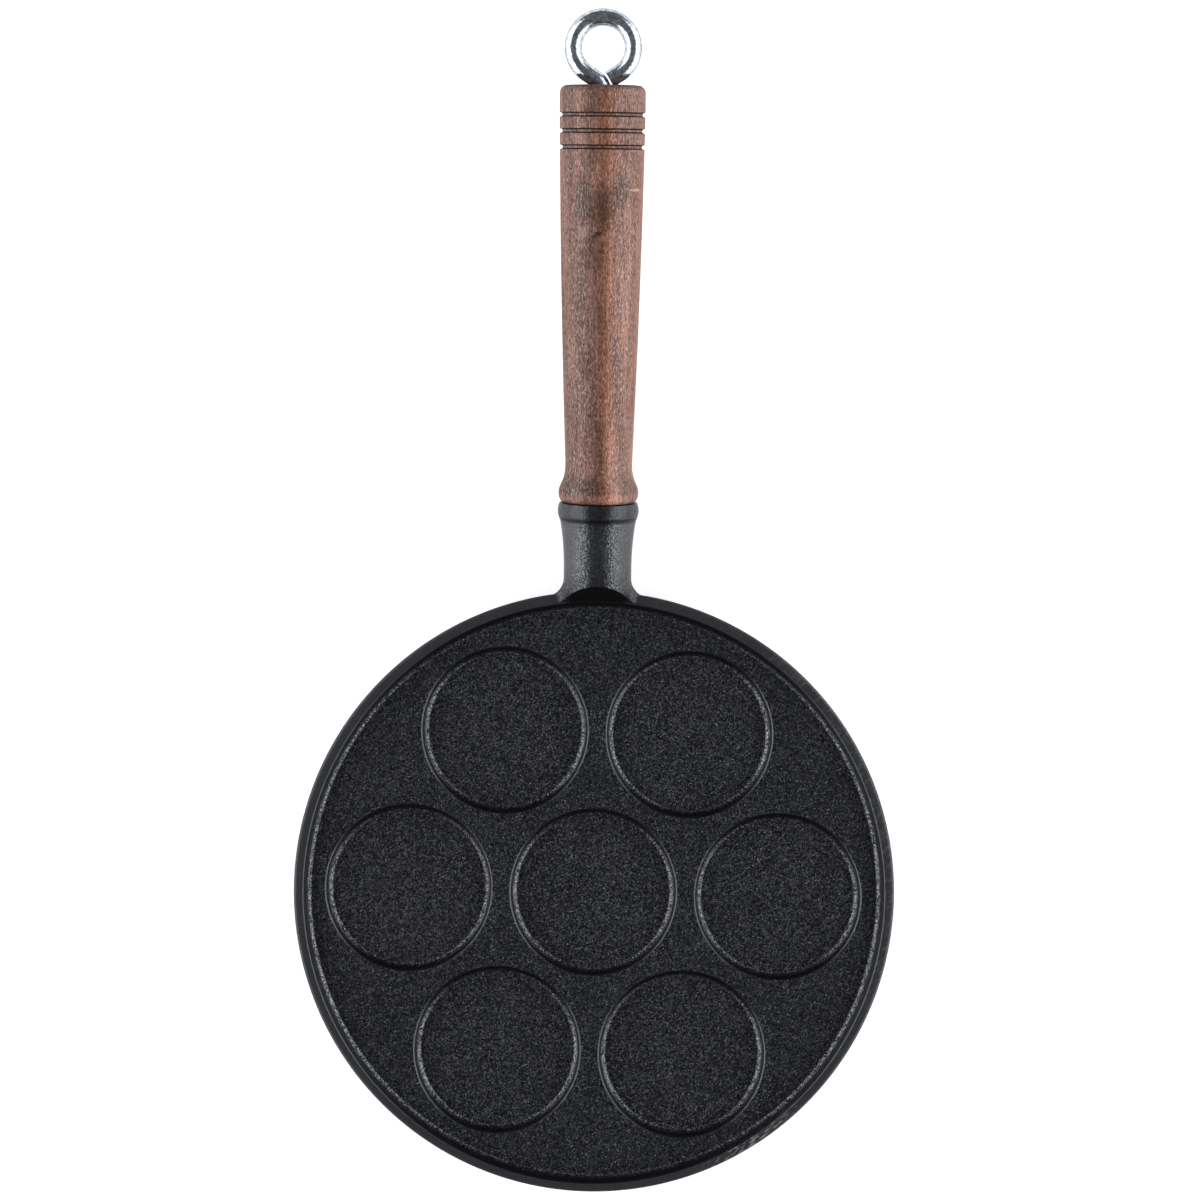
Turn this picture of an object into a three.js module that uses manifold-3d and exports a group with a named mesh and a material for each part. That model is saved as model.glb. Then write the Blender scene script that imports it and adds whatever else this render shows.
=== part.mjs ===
// Cast-iron pancake pan: seven round wells in a low-rimmed round pan, with a turned wooden handle held on by a
// long eye bolt. Millimetres, +Z up. The base stands on z = 0 with the pan's centre at the origin, and the
// handle runs out along +Y, rising towards its eye.
import * as THREE from "three";
import { mergeVertices } from "three/addons/utils/BufferGeometryUtils.js";
import Module from "manifold-3d";

const wasm = await Module();
wasm.setup();

// Wells: one in the middle and a ring of six round it.
const WELL_DIAMETER = 64;
const WELL_DEPTH = 5;
const WELL_DRAFT = 8; // degrees from upright
const WELL_LIP_ROUND = 0.8;
const WELL_FOOT_ROUND = 2.4;
const WELL_WEB = 7; // iron left between one well and the next
const RING_WELLS = 6;

// Pan body round the wells.
const BASE_THICKNESS = 5; // iron under a well
const FLOOR_MARGIN = 6.8; // from the outer wells to the foot of the rim
const RIM_HEIGHT = 6; // rim above the floor between the wells
const RIM_DRAFT = 16;
const RIM_LAND = 3.95; // flat top of the rim
const RIM_INNER_ROUND = 0.7;
const RIM_OUTER_ROUND = 1.2;
const RIM_FOOT_ROUND = 2;
const SKIRT_DRAFT = 18; // the outside leans in towards the base
const BASE_ROUND = 6;

// Neck, cast in one with the pan.
const HANDLE_TILT = 8; // degrees that neck and handle rise above level
const AXIS_HEIGHT = 13.6; // of the handle's axis where it crosses the outer edge of the rim
const NECK_LENGTH = 33.8; // from the outer edge of the rim to the collar's face
const NECK_DIAMETER = 25.9; // at the root
const NECK_SHOULDER_DIAMETER = 29.2; // where the neck runs into the collar
const COLLAR_DIAMETER = 31;
const COLLAR_FACE_DIAMETER = 29.7;
const COLLAR_LENGTH = 6.6;
const NECK_END_DRAFT = 27.5; // lean of the neck's end face above the rim
const NECK_WALL_ROUND = 6.1; // fillet between the neck's flanks and the outside of the rim
const NECK_LAND_ROUND = 3.7; // fillet between the neck's flanks and the top of the rim
const NECK_BASE_GAP = 0.6; // the neck stays this far off the hob

// Turned wooden handle.
const HANDLE_LENGTH = 157;
const HANDLE_FACE_DIAMETER = 27.6;
const HANDLE_BEAD_DIAMETER = 30.5;
const HANDLE_BEAD_AT = 3.5; // all places are measured from the handle's front face
const HANDLE_WAIST_DIAMETER = 25.5;
const HANDLE_WAIST_AT = 14.6;
const HANDLE_REAR_DIAMETER = 32.4;
const HANDLE_REAR_LENGTH = 10; // last stretch, of one diameter
const HANDLE_REAR_ROUND = 2.8;
const HANDLE_SWELL = 0.75; // share of the taper reached halfway along
const GROOVES = 3;
const GROOVE_WIDTH = 1.7;
const GROOVE_DEPTH = 1;
const GROOVE_PITCH = 6;
const GROOVE_FROM_END = 11; // rearmost groove from the rear face
const SPIGOT_DIAMETER = 18;
const SPIGOT_LENGTH = 14;
const MOUTH_DIAMETER = 12.6; // countersink under the eye
const MOUTH_DEPTH = 5;

// Eye bolt: one bent rod whose threaded end screws into the neck.
const ROD_DIAMETER = 6;
const EYE_INNER_DIAMETER = 16.7;
const EYE_STAND_OFF = 0.8; // lowest point of the eye's full circle above the handle's rear face
const EYE_BEND_RADIUS = 6; // of the rod's axis, where it leaves the handle
const EYE_BEND_ANGLE = 55;
const EYE_SLIT = 0.5; // between the bend and the rod's free end
const THREAD_ENGAGED = 12;
const THREAD_HOLE_SPARE = 3;

// Fits.
const JOINT_GAP = 0.3; // wood to iron, end on
const SPIGOT_CLEARANCE = 0.3; // all round
const ROD_CLEARANCE = 0.35; // all round

// Facets.
const PAN_SIDES = 84;
const WELL_SIDES = 36;
const TURNED_SIDES = 40;
const NECK_SPOKES = 60;
const ROD_SIDES = 8; // in each half turn
const ARC_STEP = 28; // degrees for one facet of a round

const rad = THREE.MathUtils.degToRad;
const run = (height, draft) => height * Math.tan(rad(draft));

// Sizes that follow from those above.
const WELL_RADIUS = WELL_DIAMETER / 2;
const WELL_RING_RADIUS = WELL_DIAMETER + WELL_WEB;
const FLOOR_Z = BASE_THICKNESS + WELL_DEPTH;
const RIM_Z = FLOOR_Z + RIM_HEIGHT;
const RIM_FOOT_RADIUS = WELL_RING_RADIUS + WELL_RADIUS + FLOOR_MARGIN;
const RIM_INNER_RADIUS = RIM_FOOT_RADIUS + run(RIM_HEIGHT, RIM_DRAFT);
const PAN_RADIUS = RIM_INNER_RADIUS + RIM_LAND;
const RIM_SINK = RIM_OUTER_ROUND / 2;
const BASE_RADIUS = PAN_RADIUS - run(RIM_Z, SKIRT_DRAFT);
const ROD_RADIUS = ROD_DIAMETER / 2;
const BORE_RADIUS = ROD_RADIUS + ROD_CLEARANCE;
const HANDLE_FRONT = NECK_LENGTH + JOINT_GAP;
const HANDLE_END = HANDLE_FRONT + HANDLE_LENGTH;
const SPIGOT_END = HANDLE_FRONT - SPIGOT_LENGTH;
const CUP_FLOOR = SPIGOT_END - JOINT_GAP;
const ROD_TIP = CUP_FLOOR - THREAD_ENGAGED;
const EYE_RADIUS = EYE_INNER_DIAMETER / 2 + ROD_RADIUS;
const EYE_CENTRE = HANDLE_END + EYE_STAND_OFF + ROD_RADIUS + EYE_RADIUS;

// A profile through corners [across, along, radius], with each corner that has a radius turned into an arc.
function rounded(corners) {
  const points = [];
  corners.forEach(([x, y, radius = 0], i) => {
    const here = new THREE.Vector2(x, y);
    if (!radius) {
      points.push(here);
      return;
    }
    const before = new THREE.Vector2(...corners[i - 1]).sub(here).normalize();
    const after = new THREE.Vector2(...corners[i + 1]).sub(here).normalize();
    const half = Math.acos(before.dot(after)) / 2;
    const middle = before.clone().add(after).normalize();
    const centre = here.clone().addScaledVector(middle, radius / Math.sin(half));
    const start = here.clone().addScaledVector(before, radius / Math.tan(half)).sub(centre);
    const turn = Math.PI - 2 * half;
    const side = Math.sign(before.cross(after));
    const steps = Math.max(2, Math.ceil(turn / rad(ARC_STEP)));
    for (let k = 0; k <= steps; k += 1) {
      const spoke = start.clone().rotateAround(new THREE.Vector2(), (-side * turn * k) / steps);
      points.push(centre.clone().add(spoke));
    }
  });
  return points.filter((p, i) => i === 0 || p.distanceTo(points[i - 1]) > 0.01);
}

// A profile turned about the world's upright axis.
function turnedUpright(profile, sides) {
  return new THREE.LatheGeometry(profile, sides).rotateX(Math.PI / 2);
}

// Joins and cuts need closed solids, so geometry goes over to them and back.
function solid(geometry) {
  const bare = geometry.index ? geometry.toNonIndexed() : geometry.clone();
  bare.deleteAttribute("normal");
  bare.deleteAttribute("uv");
  const merged = mergeVertices(bare, 1e-4);
  const mesh = new wasm.Mesh({
    numProp: 3,
    vertProperties: merged.attributes.position.array,
    triVerts: new Uint32Array(merged.index.array),
  });
  return new wasm.Manifold(mesh);
}

function geometryOf(body) {
  const mesh = body.getMesh();
  const geometry = new THREE.BufferGeometry();
  geometry.setAttribute("position", new THREE.BufferAttribute(mesh.vertProperties, 3));
  geometry.setIndex(new THREE.BufferAttribute(mesh.triVerts, 1));
  geometry.computeVertexNormals();
  return geometry;
}

// The handle's own frame: +Y runs out along its axis from the outer edge of the rim.
const handleFrame = new THREE.Group();
handleFrame.position.set(0, PAN_RADIUS, AXIS_HEIGHT);
handleFrame.rotation.x = rad(HANDLE_TILT);
handleFrame.updateMatrix();

// Round body of the pan, without wells.
function panBody() {
  const profile = rounded([
    [0, 0],
    [BASE_RADIUS, 0, BASE_ROUND],
    [PAN_RADIUS, RIM_Z, RIM_OUTER_ROUND],
    [RIM_INNER_RADIUS, RIM_Z, RIM_INNER_ROUND],
    [RIM_FOOT_RADIUS, FLOOR_Z, RIM_FOOT_ROUND],
    [0, FLOOR_Z],
  ]);
  return solid(turnedUpright(profile, PAN_SIDES));
}

// The space of one well, from its flat floor to above the lip.
function wellSpace(x, y) {
  const foot = WELL_RADIUS - run(WELL_DEPTH, WELL_DRAFT);
  const lip = WELL_RADIUS + WELL_LIP_ROUND * Math.tan(rad(45 - WELL_DRAFT / 2));
  const profile = rounded([
    [0, BASE_THICKNESS],
    [foot, BASE_THICKNESS, WELL_FOOT_ROUND],
    [WELL_RADIUS, FLOOR_Z, WELL_LIP_ROUND],
    [lip, FLOOR_Z],
    [lip, FLOOR_Z + 1],
    [0, FLOOR_Z + 1],
  ]);
  return solid(turnedUpright(profile, WELL_SIDES).translate(x, y, 0));
}

// How far the neck's flank swells sideways to run into the rim, at this distance from the rim's outside (less
// than 0 over the top of the rim) and this height: a fillet down to the wall, and a smaller one to the land.
// Both are counted from a little inside the iron, so the fillet runs out under the rim's rounded edge.
function rootFlare(fromWall, z) {
  const over = THREE.MathUtils.clamp(-fromWall / RIM_LAND, 0, 1);
  const toWall = Math.max(0, fromWall) / NECK_WALL_ROUND;
  const toLand = Math.max(0, z - RIM_Z + RIM_SINK) / NECK_LAND_ROUND;
  const left = 1 - Math.min(1, Math.hypot(toWall, toLand));
  return THREE.MathUtils.lerp(NECK_WALL_ROUND, NECK_LAND_ROUND, over) * (1 - Math.sqrt(1 - left * left));
}

// One point of the neck's root, on the spoke at this angle round the axis and this far from the rim's outside.
function rootPoint(angle, fromWall) {
  const radius = NECK_DIAMETER / 2;
  const point = new THREE.Vector3(radius * Math.cos(angle), fromWall, radius * Math.sin(angle));
  const spoke = point.clone();
  for (let pass = 0; pass < 4; pass += 1) {
    point.copy(spoke).applyMatrix4(handleFrame.matrix);
    const wall = PAN_RADIUS - RIM_SINK - run(Math.max(0, RIM_Z - point.z), SKIRT_DRAFT);
    point.x *= 1 + rootFlare(fromWall, point.z) / radius;
    const wanted = Math.sqrt((wall + fromWall) ** 2 - point.x ** 2);
    spoke.y += (wanted - point.y) / Math.cos(rad(HANDLE_TILT));
    point.y = wanted;
  }
  return point;
}

// Neck and collar: round stations along the handle's axis, and at the root stations that follow the rim's
// outside, closer together where the fillet is steep.
function neckBody() {
  const rows = [];
  const angles = [];
  for (let i = 0; i < NECK_SPOKES; i += 1) angles.push((2 * Math.PI * i) / NECK_SPOKES);
  const buried = [-4 * RIM_LAND, -2 * RIM_LAND, -RIM_LAND, -0.6 * RIM_LAND, -0.25 * RIM_LAND];
  const rising = [0, 0.03, 0.1, 0.22, 0.4, 0.65, 1].map((share) => share * NECK_WALL_ROUND);
  for (const fromWall of [...buried, ...rising]) rows.push(angles.map((a) => rootPoint(a, fromWall)));
  const blendStart = NECK_WALL_ROUND + 3;
  const blendEnd = NECK_LENGTH - COLLAR_LENGTH;
  const waist = new THREE.QuadraticBezierCurve(
    new THREE.Vector2(NECK_DIAMETER / 2, blendStart),
    new THREE.Vector2(NECK_DIAMETER / 2 + 0.2, THREE.MathUtils.lerp(blendStart, blendEnd, 0.6)),
    new THREE.Vector2(NECK_SHOULDER_DIAMETER / 2, blendEnd),
  );
  const bulge = COLLAR_DIAMETER - (NECK_SHOULDER_DIAMETER + COLLAR_FACE_DIAMETER) / 4;
  const bead = new THREE.QuadraticBezierCurve(
    new THREE.Vector2(NECK_SHOULDER_DIAMETER / 2, blendEnd),
    new THREE.Vector2(bulge, NECK_LENGTH - COLLAR_LENGTH / 2),
    new THREE.Vector2(COLLAR_FACE_DIAMETER / 2, NECK_LENGTH),
  );
  for (const { x: radius, y: along } of [...waist.getPoints(6), ...bead.getPoints(6).slice(1)]) {
    rows.push(angles.map((a) => new THREE.Vector3(radius * Math.cos(a), along, radius * Math.sin(a))
      .applyMatrix4(handleFrame.matrix)));
  }
  const points = rows.flat();
  const faces = [];
  const at = (row, i) => row * NECK_SPOKES + (i % NECK_SPOKES);
  for (let row = 0; row + 1 < rows.length; row += 1) {
    for (let i = 0; i < NECK_SPOKES; i += 1) {
      faces.push(at(row, i), at(row + 1, i), at(row + 1, i + 1), at(row, i), at(row + 1, i + 1), at(row, i + 1));
    }
  }
  for (const [row, flip] of [[0, 0], [rows.length - 1, 1]]) {
    const middle = rows[row].reduce((sum, p) => sum.add(p), new THREE.Vector3()).divideScalar(NECK_SPOKES);
    points.push(middle);
    for (let i = 0; i < NECK_SPOKES; i += 1) {
      faces.push(points.length - 1, at(row, i + flip), at(row, i + 1 - flip));
    }
  }
  return solid(new THREE.BufferGeometry().setFromPoints(points).setIndex(faces));
}

// Everything above the floor and inside the rim, leaning back above the rim to face off the neck's end. It
// stops inside the rim's iron, so that only the neck is cut.
function panInside() {
  const hidden = RIM_LAND / 3;
  const top = RIM_Z + NECK_DIAMETER;
  const edge = RIM_INNER_RADIUS + RIM_INNER_ROUND;
  const profile = [
    new THREE.Vector2(0, FLOOR_Z - hidden),
    new THREE.Vector2(RIM_FOOT_RADIUS + hidden, FLOOR_Z - hidden),
    new THREE.Vector2(edge, RIM_Z - hidden),
    new THREE.Vector2(edge, RIM_Z),
    new THREE.Vector2(edge + run(top - RIM_Z, NECK_END_DRAFT), top),
    new THREE.Vector2(0, top),
  ];
  return solid(turnedUpright(profile, PAN_SIDES));
}

// Cup for the handle's spigot and the blind hole that takes the bolt's thread.
function neckHollow() {
  const cup = SPIGOT_DIAMETER / 2 + SPIGOT_CLEARANCE;
  const profile = [
    new THREE.Vector2(0, ROD_TIP - THREAD_HOLE_SPARE),
    new THREE.Vector2(BORE_RADIUS, ROD_TIP - THREAD_HOLE_SPARE),
    new THREE.Vector2(BORE_RADIUS, CUP_FLOOR),
    new THREE.Vector2(cup, CUP_FLOOR),
    new THREE.Vector2(cup, NECK_LENGTH + 1),
    new THREE.Vector2(0, NECK_LENGTH + 1),
  ];
  return solid(new THREE.LatheGeometry(profile, TURNED_SIDES).applyMatrix4(handleFrame.matrix));
}

function panCasting() {
  const hob = new THREE.BoxGeometry(4 * NECK_DIAMETER, 4 * PAN_RADIUS, 40);
  hob.translate(0, PAN_RADIUS, NECK_BASE_GAP - 20);
  const neck = neckBody().subtract(panInside()).subtract(solid(hob));
  let body = panBody().add(neck).subtract(neckHollow());
  body = body.subtract(wellSpace(0, 0));
  for (let i = 0; i < RING_WELLS; i += 1) {
    const angle = (2 * Math.PI * i) / RING_WELLS;
    body = body.subtract(wellSpace(WELL_RING_RADIUS * Math.cos(angle), WELL_RING_RADIUS * Math.sin(angle)));
  }
  return geometryOf(body);
}

// Radius of the handle's long taper, from the waist to the stretch of one diameter at the rear.
function taperRadius(s) {
  const u = (s - HANDLE_WAIST_AT) / (HANDLE_LENGTH - HANDLE_REAR_LENGTH - HANDLE_WAIST_AT);
  const share = 2 * u * (1 - u) * HANDLE_SWELL + u * u;
  return THREE.MathUtils.lerp(HANDLE_WAIST_DIAMETER, HANDLE_REAR_DIAMETER, u < 1 ? share : 1) / 2;
}

function woodenHandle() {
  const bead = HANDLE_BEAD_DIAMETER / 2;
  const waist = HANDLE_WAIST_DIAMETER / 2;
  const outside = new THREE.CurvePath();
  outside.add(new THREE.QuadraticBezierCurve(
    new THREE.Vector2(HANDLE_FACE_DIAMETER / 2, 0),
    new THREE.Vector2(bead, HANDLE_BEAD_AT * 0.3),
    new THREE.Vector2(bead, HANDLE_BEAD_AT),
  ));
  outside.add(new THREE.CubicBezierCurve(
    new THREE.Vector2(bead, HANDLE_BEAD_AT),
    new THREE.Vector2(bead, THREE.MathUtils.lerp(HANDLE_BEAD_AT, HANDLE_WAIST_AT, 0.32)),
    new THREE.Vector2(waist, THREE.MathUtils.lerp(HANDLE_BEAD_AT, HANDLE_WAIST_AT, 0.36)),
    new THREE.Vector2(waist, HANDLE_WAIST_AT),
  ));
  const profile = [
    new THREE.Vector2(BORE_RADIUS, -SPIGOT_LENGTH),
    new THREE.Vector2(SPIGOT_DIAMETER / 2, -SPIGOT_LENGTH),
    new THREE.Vector2(SPIGOT_DIAMETER / 2, 0),
    ...outside.curves[0].getPoints(4),
    ...outside.curves[1].getPoints(9).slice(1),
  ];
  const firstGroove = HANDLE_LENGTH - GROOVE_FROM_END - (GROOVES - 1) * GROOVE_PITCH;
  const taperSteps = 7;
  for (let i = 1; i < taperSteps; i += 1) {
    const s = THREE.MathUtils.lerp(HANDLE_WAIST_AT, firstGroove, i / taperSteps);
    profile.push(new THREE.Vector2(taperRadius(s), s));
  }
  for (let i = 0; i < GROOVES; i += 1) {
    for (const [across, share] of [[-0.5, 0], [-0.3, 0.8], [0, 1], [0.3, 0.8], [0.5, 0]]) {
      const s = firstGroove + i * GROOVE_PITCH + across * GROOVE_WIDTH;
      profile.push(new THREE.Vector2(taperRadius(s) - share * GROOVE_DEPTH, s));
    }
  }
  const rear = HANDLE_REAR_DIAMETER / 2;
  profile.push(...rounded([
    [rear, HANDLE_LENGTH - HANDLE_REAR_LENGTH / 2],
    [rear, HANDLE_LENGTH, HANDLE_REAR_ROUND],
    [MOUTH_DIAMETER / 2, HANDLE_LENGTH],
    [BORE_RADIUS, HANDLE_LENGTH - MOUTH_DEPTH],
  ]));
  profile.push(profile[0].clone());
  return new THREE.LatheGeometry(profile, TURNED_SIDES).translate(0, HANDLE_FRONT, 0);
}

// A path laid out as stations, which need not be evenly spaced.
class StationPath extends THREE.Curve {
  constructor(stations) {
    super();
    this.stations = stations;
  }

  getPoint(t) {
    const last = this.stations.length - 1;
    const at = Math.min(Math.max(t, 0), 1) * last;
    const i = Math.min(Math.floor(at), last - 1);
    return this.stations[i].clone().lerp(this.stations[i + 1], at - i);
  }

  getUtoTmapping(u) {
    return u;
  }
}

// The eye is a drop: two slanting stretches touch its circle, one bending into the shank and the other ending,
// cut square, beside that bend. Both of their lines meet the handle's axis at the bend's corner.
function eyeBolt() {
  const bend = rad(EYE_BEND_ANGLE);
  const stations = [];
  const place = (x, y) => stations.push(new THREE.Vector3(x, y, 0));
  const corner = EYE_CENTRE - EYE_RADIUS / Math.sin(bend);
  const bendStart = corner - EYE_BEND_RADIUS * Math.tan(bend / 2);
  place(0, ROD_TIP);
  for (let k = 0; k <= 5; k += 1) {
    const turned = (bend * k) / 5;
    place(-EYE_BEND_RADIUS * (1 - Math.cos(turned)), bendStart + EYE_BEND_RADIUS * Math.sin(turned));
  }
  const steps = 32;
  for (let k = 0; k <= steps; k += 1) {
    const angle = THREE.MathUtils.lerp(Math.PI + bend, -bend, k / steps);
    place(EYE_RADIUS * Math.cos(angle), EYE_CENTRE + EYE_RADIUS * Math.sin(angle));
  }
  const reach = EYE_BEND_RADIUS * (Math.sin(bend) + Math.tan(bend / 2) * Math.cos(bend));
  const left = EYE_BEND_RADIUS + ROD_RADIUS + EYE_SLIT - reach;
  place(left * Math.sin(bend), corner + left * Math.cos(bend));
  const section = new THREE.Shape();
  section.absarc(0, 0, ROD_RADIUS, 0, 2 * Math.PI);
  return new THREE.ExtrudeGeometry(section, {
    extrudePath: new StationPath(stations),
    steps: stations.length - 1,
    curveSegments: ROD_SIDES,
  });
}

function piece(name, geometry, look) {
  const mesh = new THREE.Mesh(geometry, new THREE.MeshStandardMaterial(look));
  mesh.name = name;
  return mesh;
}

const pan = new THREE.Group();
pan.name = "pancake_pan";
pan.add(piece("pan_casting", panCasting(), { color: 0x2c2d30, roughness: 0.55, metalness: 0.3 }));
handleFrame.add(piece("wooden_handle", woodenHandle(), { color: 0x7a5240, roughness: 0.5, metalness: 0 }));
handleFrame.add(piece("eye_bolt", eyeBolt(), { color: 0xc9ccd0, roughness: 0.2, metalness: 1 }));
pan.add(handleFrame);

export default pan;
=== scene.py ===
"""Pancake pan: a cast iron pan with seven wells, a turned wooden handle, and the eye bolt that holds it.

Sizes are in millimetres, and each mesh is brought to metres as it is finished. The pan stands on its base
at the origin, and its handle rises along +Y.
"""

import logging
import math
from collections.abc import Callable, Iterable, Mapping, Sequence
from dataclasses import dataclass
from enum import Enum
from functools import cached_property

import bmesh
import bpy
from bmesh.types import BMEdge, BMesh, BMVert
from bpy.types import Material, Node, NodeSocket, NodeTree, Object
from mathutils import Matrix, Vector


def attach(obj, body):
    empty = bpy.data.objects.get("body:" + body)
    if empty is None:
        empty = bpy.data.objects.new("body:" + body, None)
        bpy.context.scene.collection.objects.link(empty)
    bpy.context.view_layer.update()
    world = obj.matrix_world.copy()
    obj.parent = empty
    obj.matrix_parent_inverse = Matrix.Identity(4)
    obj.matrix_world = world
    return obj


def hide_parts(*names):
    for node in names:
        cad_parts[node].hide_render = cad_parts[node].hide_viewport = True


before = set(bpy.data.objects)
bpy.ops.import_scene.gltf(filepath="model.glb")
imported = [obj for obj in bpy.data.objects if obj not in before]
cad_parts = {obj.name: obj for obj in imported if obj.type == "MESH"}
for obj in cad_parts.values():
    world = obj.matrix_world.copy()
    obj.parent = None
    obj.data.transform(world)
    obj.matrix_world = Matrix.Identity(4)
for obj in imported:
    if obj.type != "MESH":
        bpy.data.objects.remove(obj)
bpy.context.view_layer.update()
LOG = logging.getLogger("pancake_pan")
METRES = 0.001
MERGE_DISTANCE = 1e-4
X_AXIS = Vector((1.0, 0.0, 0.0))
Y_AXIS = Vector((0.0, 1.0, 0.0))
Z_AXIS = Vector((0.0, 0.0, 1.0))
Triple = tuple[float, float, float]


class Joining(Enum):
    """How one solid is combined with another."""

    ADD = "UNION"
    CUT = "DIFFERENCE"


class Side(Enum):
    """Side of the studio that a soft box stands on."""

    LEFT = -1.0
    RIGHT = 1.0


class Sum(Enum):
    """Sums that a Math node does."""

    ADD = "ADD"
    SUBTRACT = "SUBTRACT"
    MULTIPLY = "MULTIPLY"
    MULTIPLY_ADD = "MULTIPLY_ADD"
    LARGER = "MAXIMUM"
    SIZE = "ABSOLUTE"
    ZIGZAG = "PINGPONG"


class Shift(Enum):
    """Which way a Mapping node moves a place."""

    THERE = "POINT"
    BACK = "TEXTURE"


class Ray(Enum):
    """Kinds of ray that a Light Path node tells apart."""

    CAMERA = "Is Camera Ray"
    GLOSSY = "Is Glossy Ray"
    TRANSMISSION = "Is Transmission Ray"


def run(height: float, draft: float) -> float:
    """Sideways run of a face that leans by a draft in degrees."""
    return height * math.tan(math.radians(draft))


def between(start: float, end: float, share: float) -> float:
    """Value at a share of the way from start to end."""
    return start + (end - start) * share


def ease(low: float, high: float, value: float) -> float:
    """Smooth step from 0 at low to 1 at high."""
    share = min(1.0, max(0.0, (value - low) / (high - low)))
    return share * share * (3.0 - 2.0 * share)


@dataclass(frozen=True)
class Corner:
    """Corner of a turned outline: its radius, its place along the axis, and the radius that rounds it."""

    radius: float
    along: float
    rounding: float = 0.0


def curve(corners: Sequence[Corner], steps: int) -> list[Corner]:
    """Samples the Bezier curve of the given corners.

    Args:
        corners: Two ends with one or two handles between them.
        steps: Number of stretches.

    Returns:
        The corners along the curve, ends included.
    """
    sampled = []
    for step in range(steps + 1):
        share = step / steps
        row = [(corner.radius, corner.along) for corner in corners]
        while len(row) > 1:
            row = [
                (between(a[0], b[0], share), between(a[1], b[1], share)) for a, b in zip(row, row[1:])
            ]
        sampled.append(Corner(*row[0]))
    return sampled


def ends_of(edges: Iterable[BMEdge]) -> list[BMVert]:
    """Vertices at the ends of some edges, each once and in the edges' order."""
    return list(dict.fromkeys(vert for edge in edges for vert in edge.verts))


class Lathe:
    """Draws outlines as wires in one mesh and turns them about an axis."""

    def __init__(self, mesh: BMesh, axis: Vector, steps: int, origin: Vector = Vector()) -> None:
        """Sets up the lathe.

        Args:
            mesh: Mesh in the making.
            axis: Direction of the turning axis.
            steps: Facets in a full turn.
            origin: Point on the axis that outlines are measured from.
        """
        self.mesh = mesh
        self.axis = axis
        self.steps = steps
        self.origin = origin

    def outline(self, corners: Sequence[Corner], facet: float = 9.0) -> None:
        """Draws a wire through the corners and rounds those that ask for it.

        Args:
            corners: Corners in order along the outline.
            facet: Degrees that one facet of a rounding turns through.
        """
        places = [self.origin + X_AXIS * corner.radius + self.axis * corner.along for corner in corners]
        verts = [self.mesh.verts.new(place) for place in places]
        for start, end in zip(verts, verts[1:]):
            self.mesh.edges.new((start, end))
        for index, corner in enumerate(corners):
            if corner.rounding:
                here = places[index]
                opening = (places[index - 1] - here).angle(places[index + 1] - here)
                bmesh.ops.bevel(
                    self.mesh,
                    geom=[verts[index]],
                    offset=corner.rounding / math.tan(opening / 2.0),
                    offset_type="OFFSET",
                    segments=max(2, math.ceil((180.0 - math.degrees(opening)) / facet)),
                    profile=0.5,
                    affect="VERTICES",
                    material=-1,
                )

    def turn(self) -> None:
        """Spins every wire drawn so far through a full turn and closes its seams and poles."""
        wires = [edge for edge in self.mesh.edges if edge.is_wire]
        bmesh.ops.spin(
            self.mesh,
            geom=[*wires, *ends_of(wires)],
            cent=self.origin,
            axis=self.axis,
            angle=2.0 * math.pi,
            steps=self.steps,
            use_merge=True,
        )
        bmesh.ops.remove_doubles(self.mesh, verts=self.mesh.verts, dist=MERGE_DISTANCE)


def solid(mesh: BMesh, name: str) -> Object:
    """Makes an object of a mesh, with its faces pointing outwards.

    Args:
        mesh: Finished mesh, which is freed.
        name: Name of the object.

    Returns:
        The new object, linked to the scene.
    """
    bmesh.ops.remove_doubles(mesh, verts=mesh.verts, dist=MERGE_DISTANCE)
    bmesh.ops.recalc_face_normals(mesh, faces=mesh.faces)
    data = bpy.data.meshes.new(name)
    mesh.to_mesh(data)
    mesh.free()
    made = bpy.data.objects.new(name, data)
    bpy.context.scene.collection.objects.link(made)
    return made


def combine(base: Object, other: Object, joining: Joining) -> None:
    """Adds another solid to a base or cuts it away, and removes the other solid.

    Args:
        base: Solid that keeps the result.
        other: Solid that is used up.
        joining: Whether it is added or cut away.
    """
    boolean = base.modifiers.new("combine", "BOOLEAN")
    boolean.operation = joining.value
    boolean.solver = "MANIFOLD"
    boolean.object = other
    depsgraph = bpy.context.evaluated_depsgraph_get()
    result = bpy.data.meshes.new_from_object(base.evaluated_get(depsgraph))
    base.modifiers.clear()
    spent = [base.data, other.data]
    base.data = result
    bpy.data.objects.remove(other)
    for data in spent:
        bpy.data.meshes.remove(data)


def mark(piece: Object, name: str, measure: Callable[[Vector], float]) -> None:
    """Stores a number at every vertex, for the piece's material to read.

    Args:
        piece: Object still in millimetres.
        name: Name of the attribute.
        measure: Gives the number at a place.
    """
    values = piece.data.attributes.new(name, "FLOAT", "POINT")
    for vert, value in zip(piece.data.vertices, values.data):
        value.value = measure(vert.co)


def settle(piece: Object, material: Material, sharp: float = 32.0) -> None:
    """Brings a finished piece to metres, smooths its shading and gives it its material.

    Args:
        piece: Object in millimetres.
        material: Finish of the whole piece.
        sharp: Degrees between faces from which an edge stays crisp.
    """
    piece.data.transform(Matrix.Scale(METRES, 4))
    piece.data.shade_smooth()
    piece.data.set_sharp_from_angle(angle=math.radians(sharp))
    piece.data.materials.clear()
    piece.data.materials.append(material)
    piece.data.update()


@dataclass(frozen=True)
class Hump:
    """Stretch of a distance, in millimetres: a number rises at its start and falls back at its end."""

    rise: float
    full: float
    fall: float
    end: float
    height: float = 1.0


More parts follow.
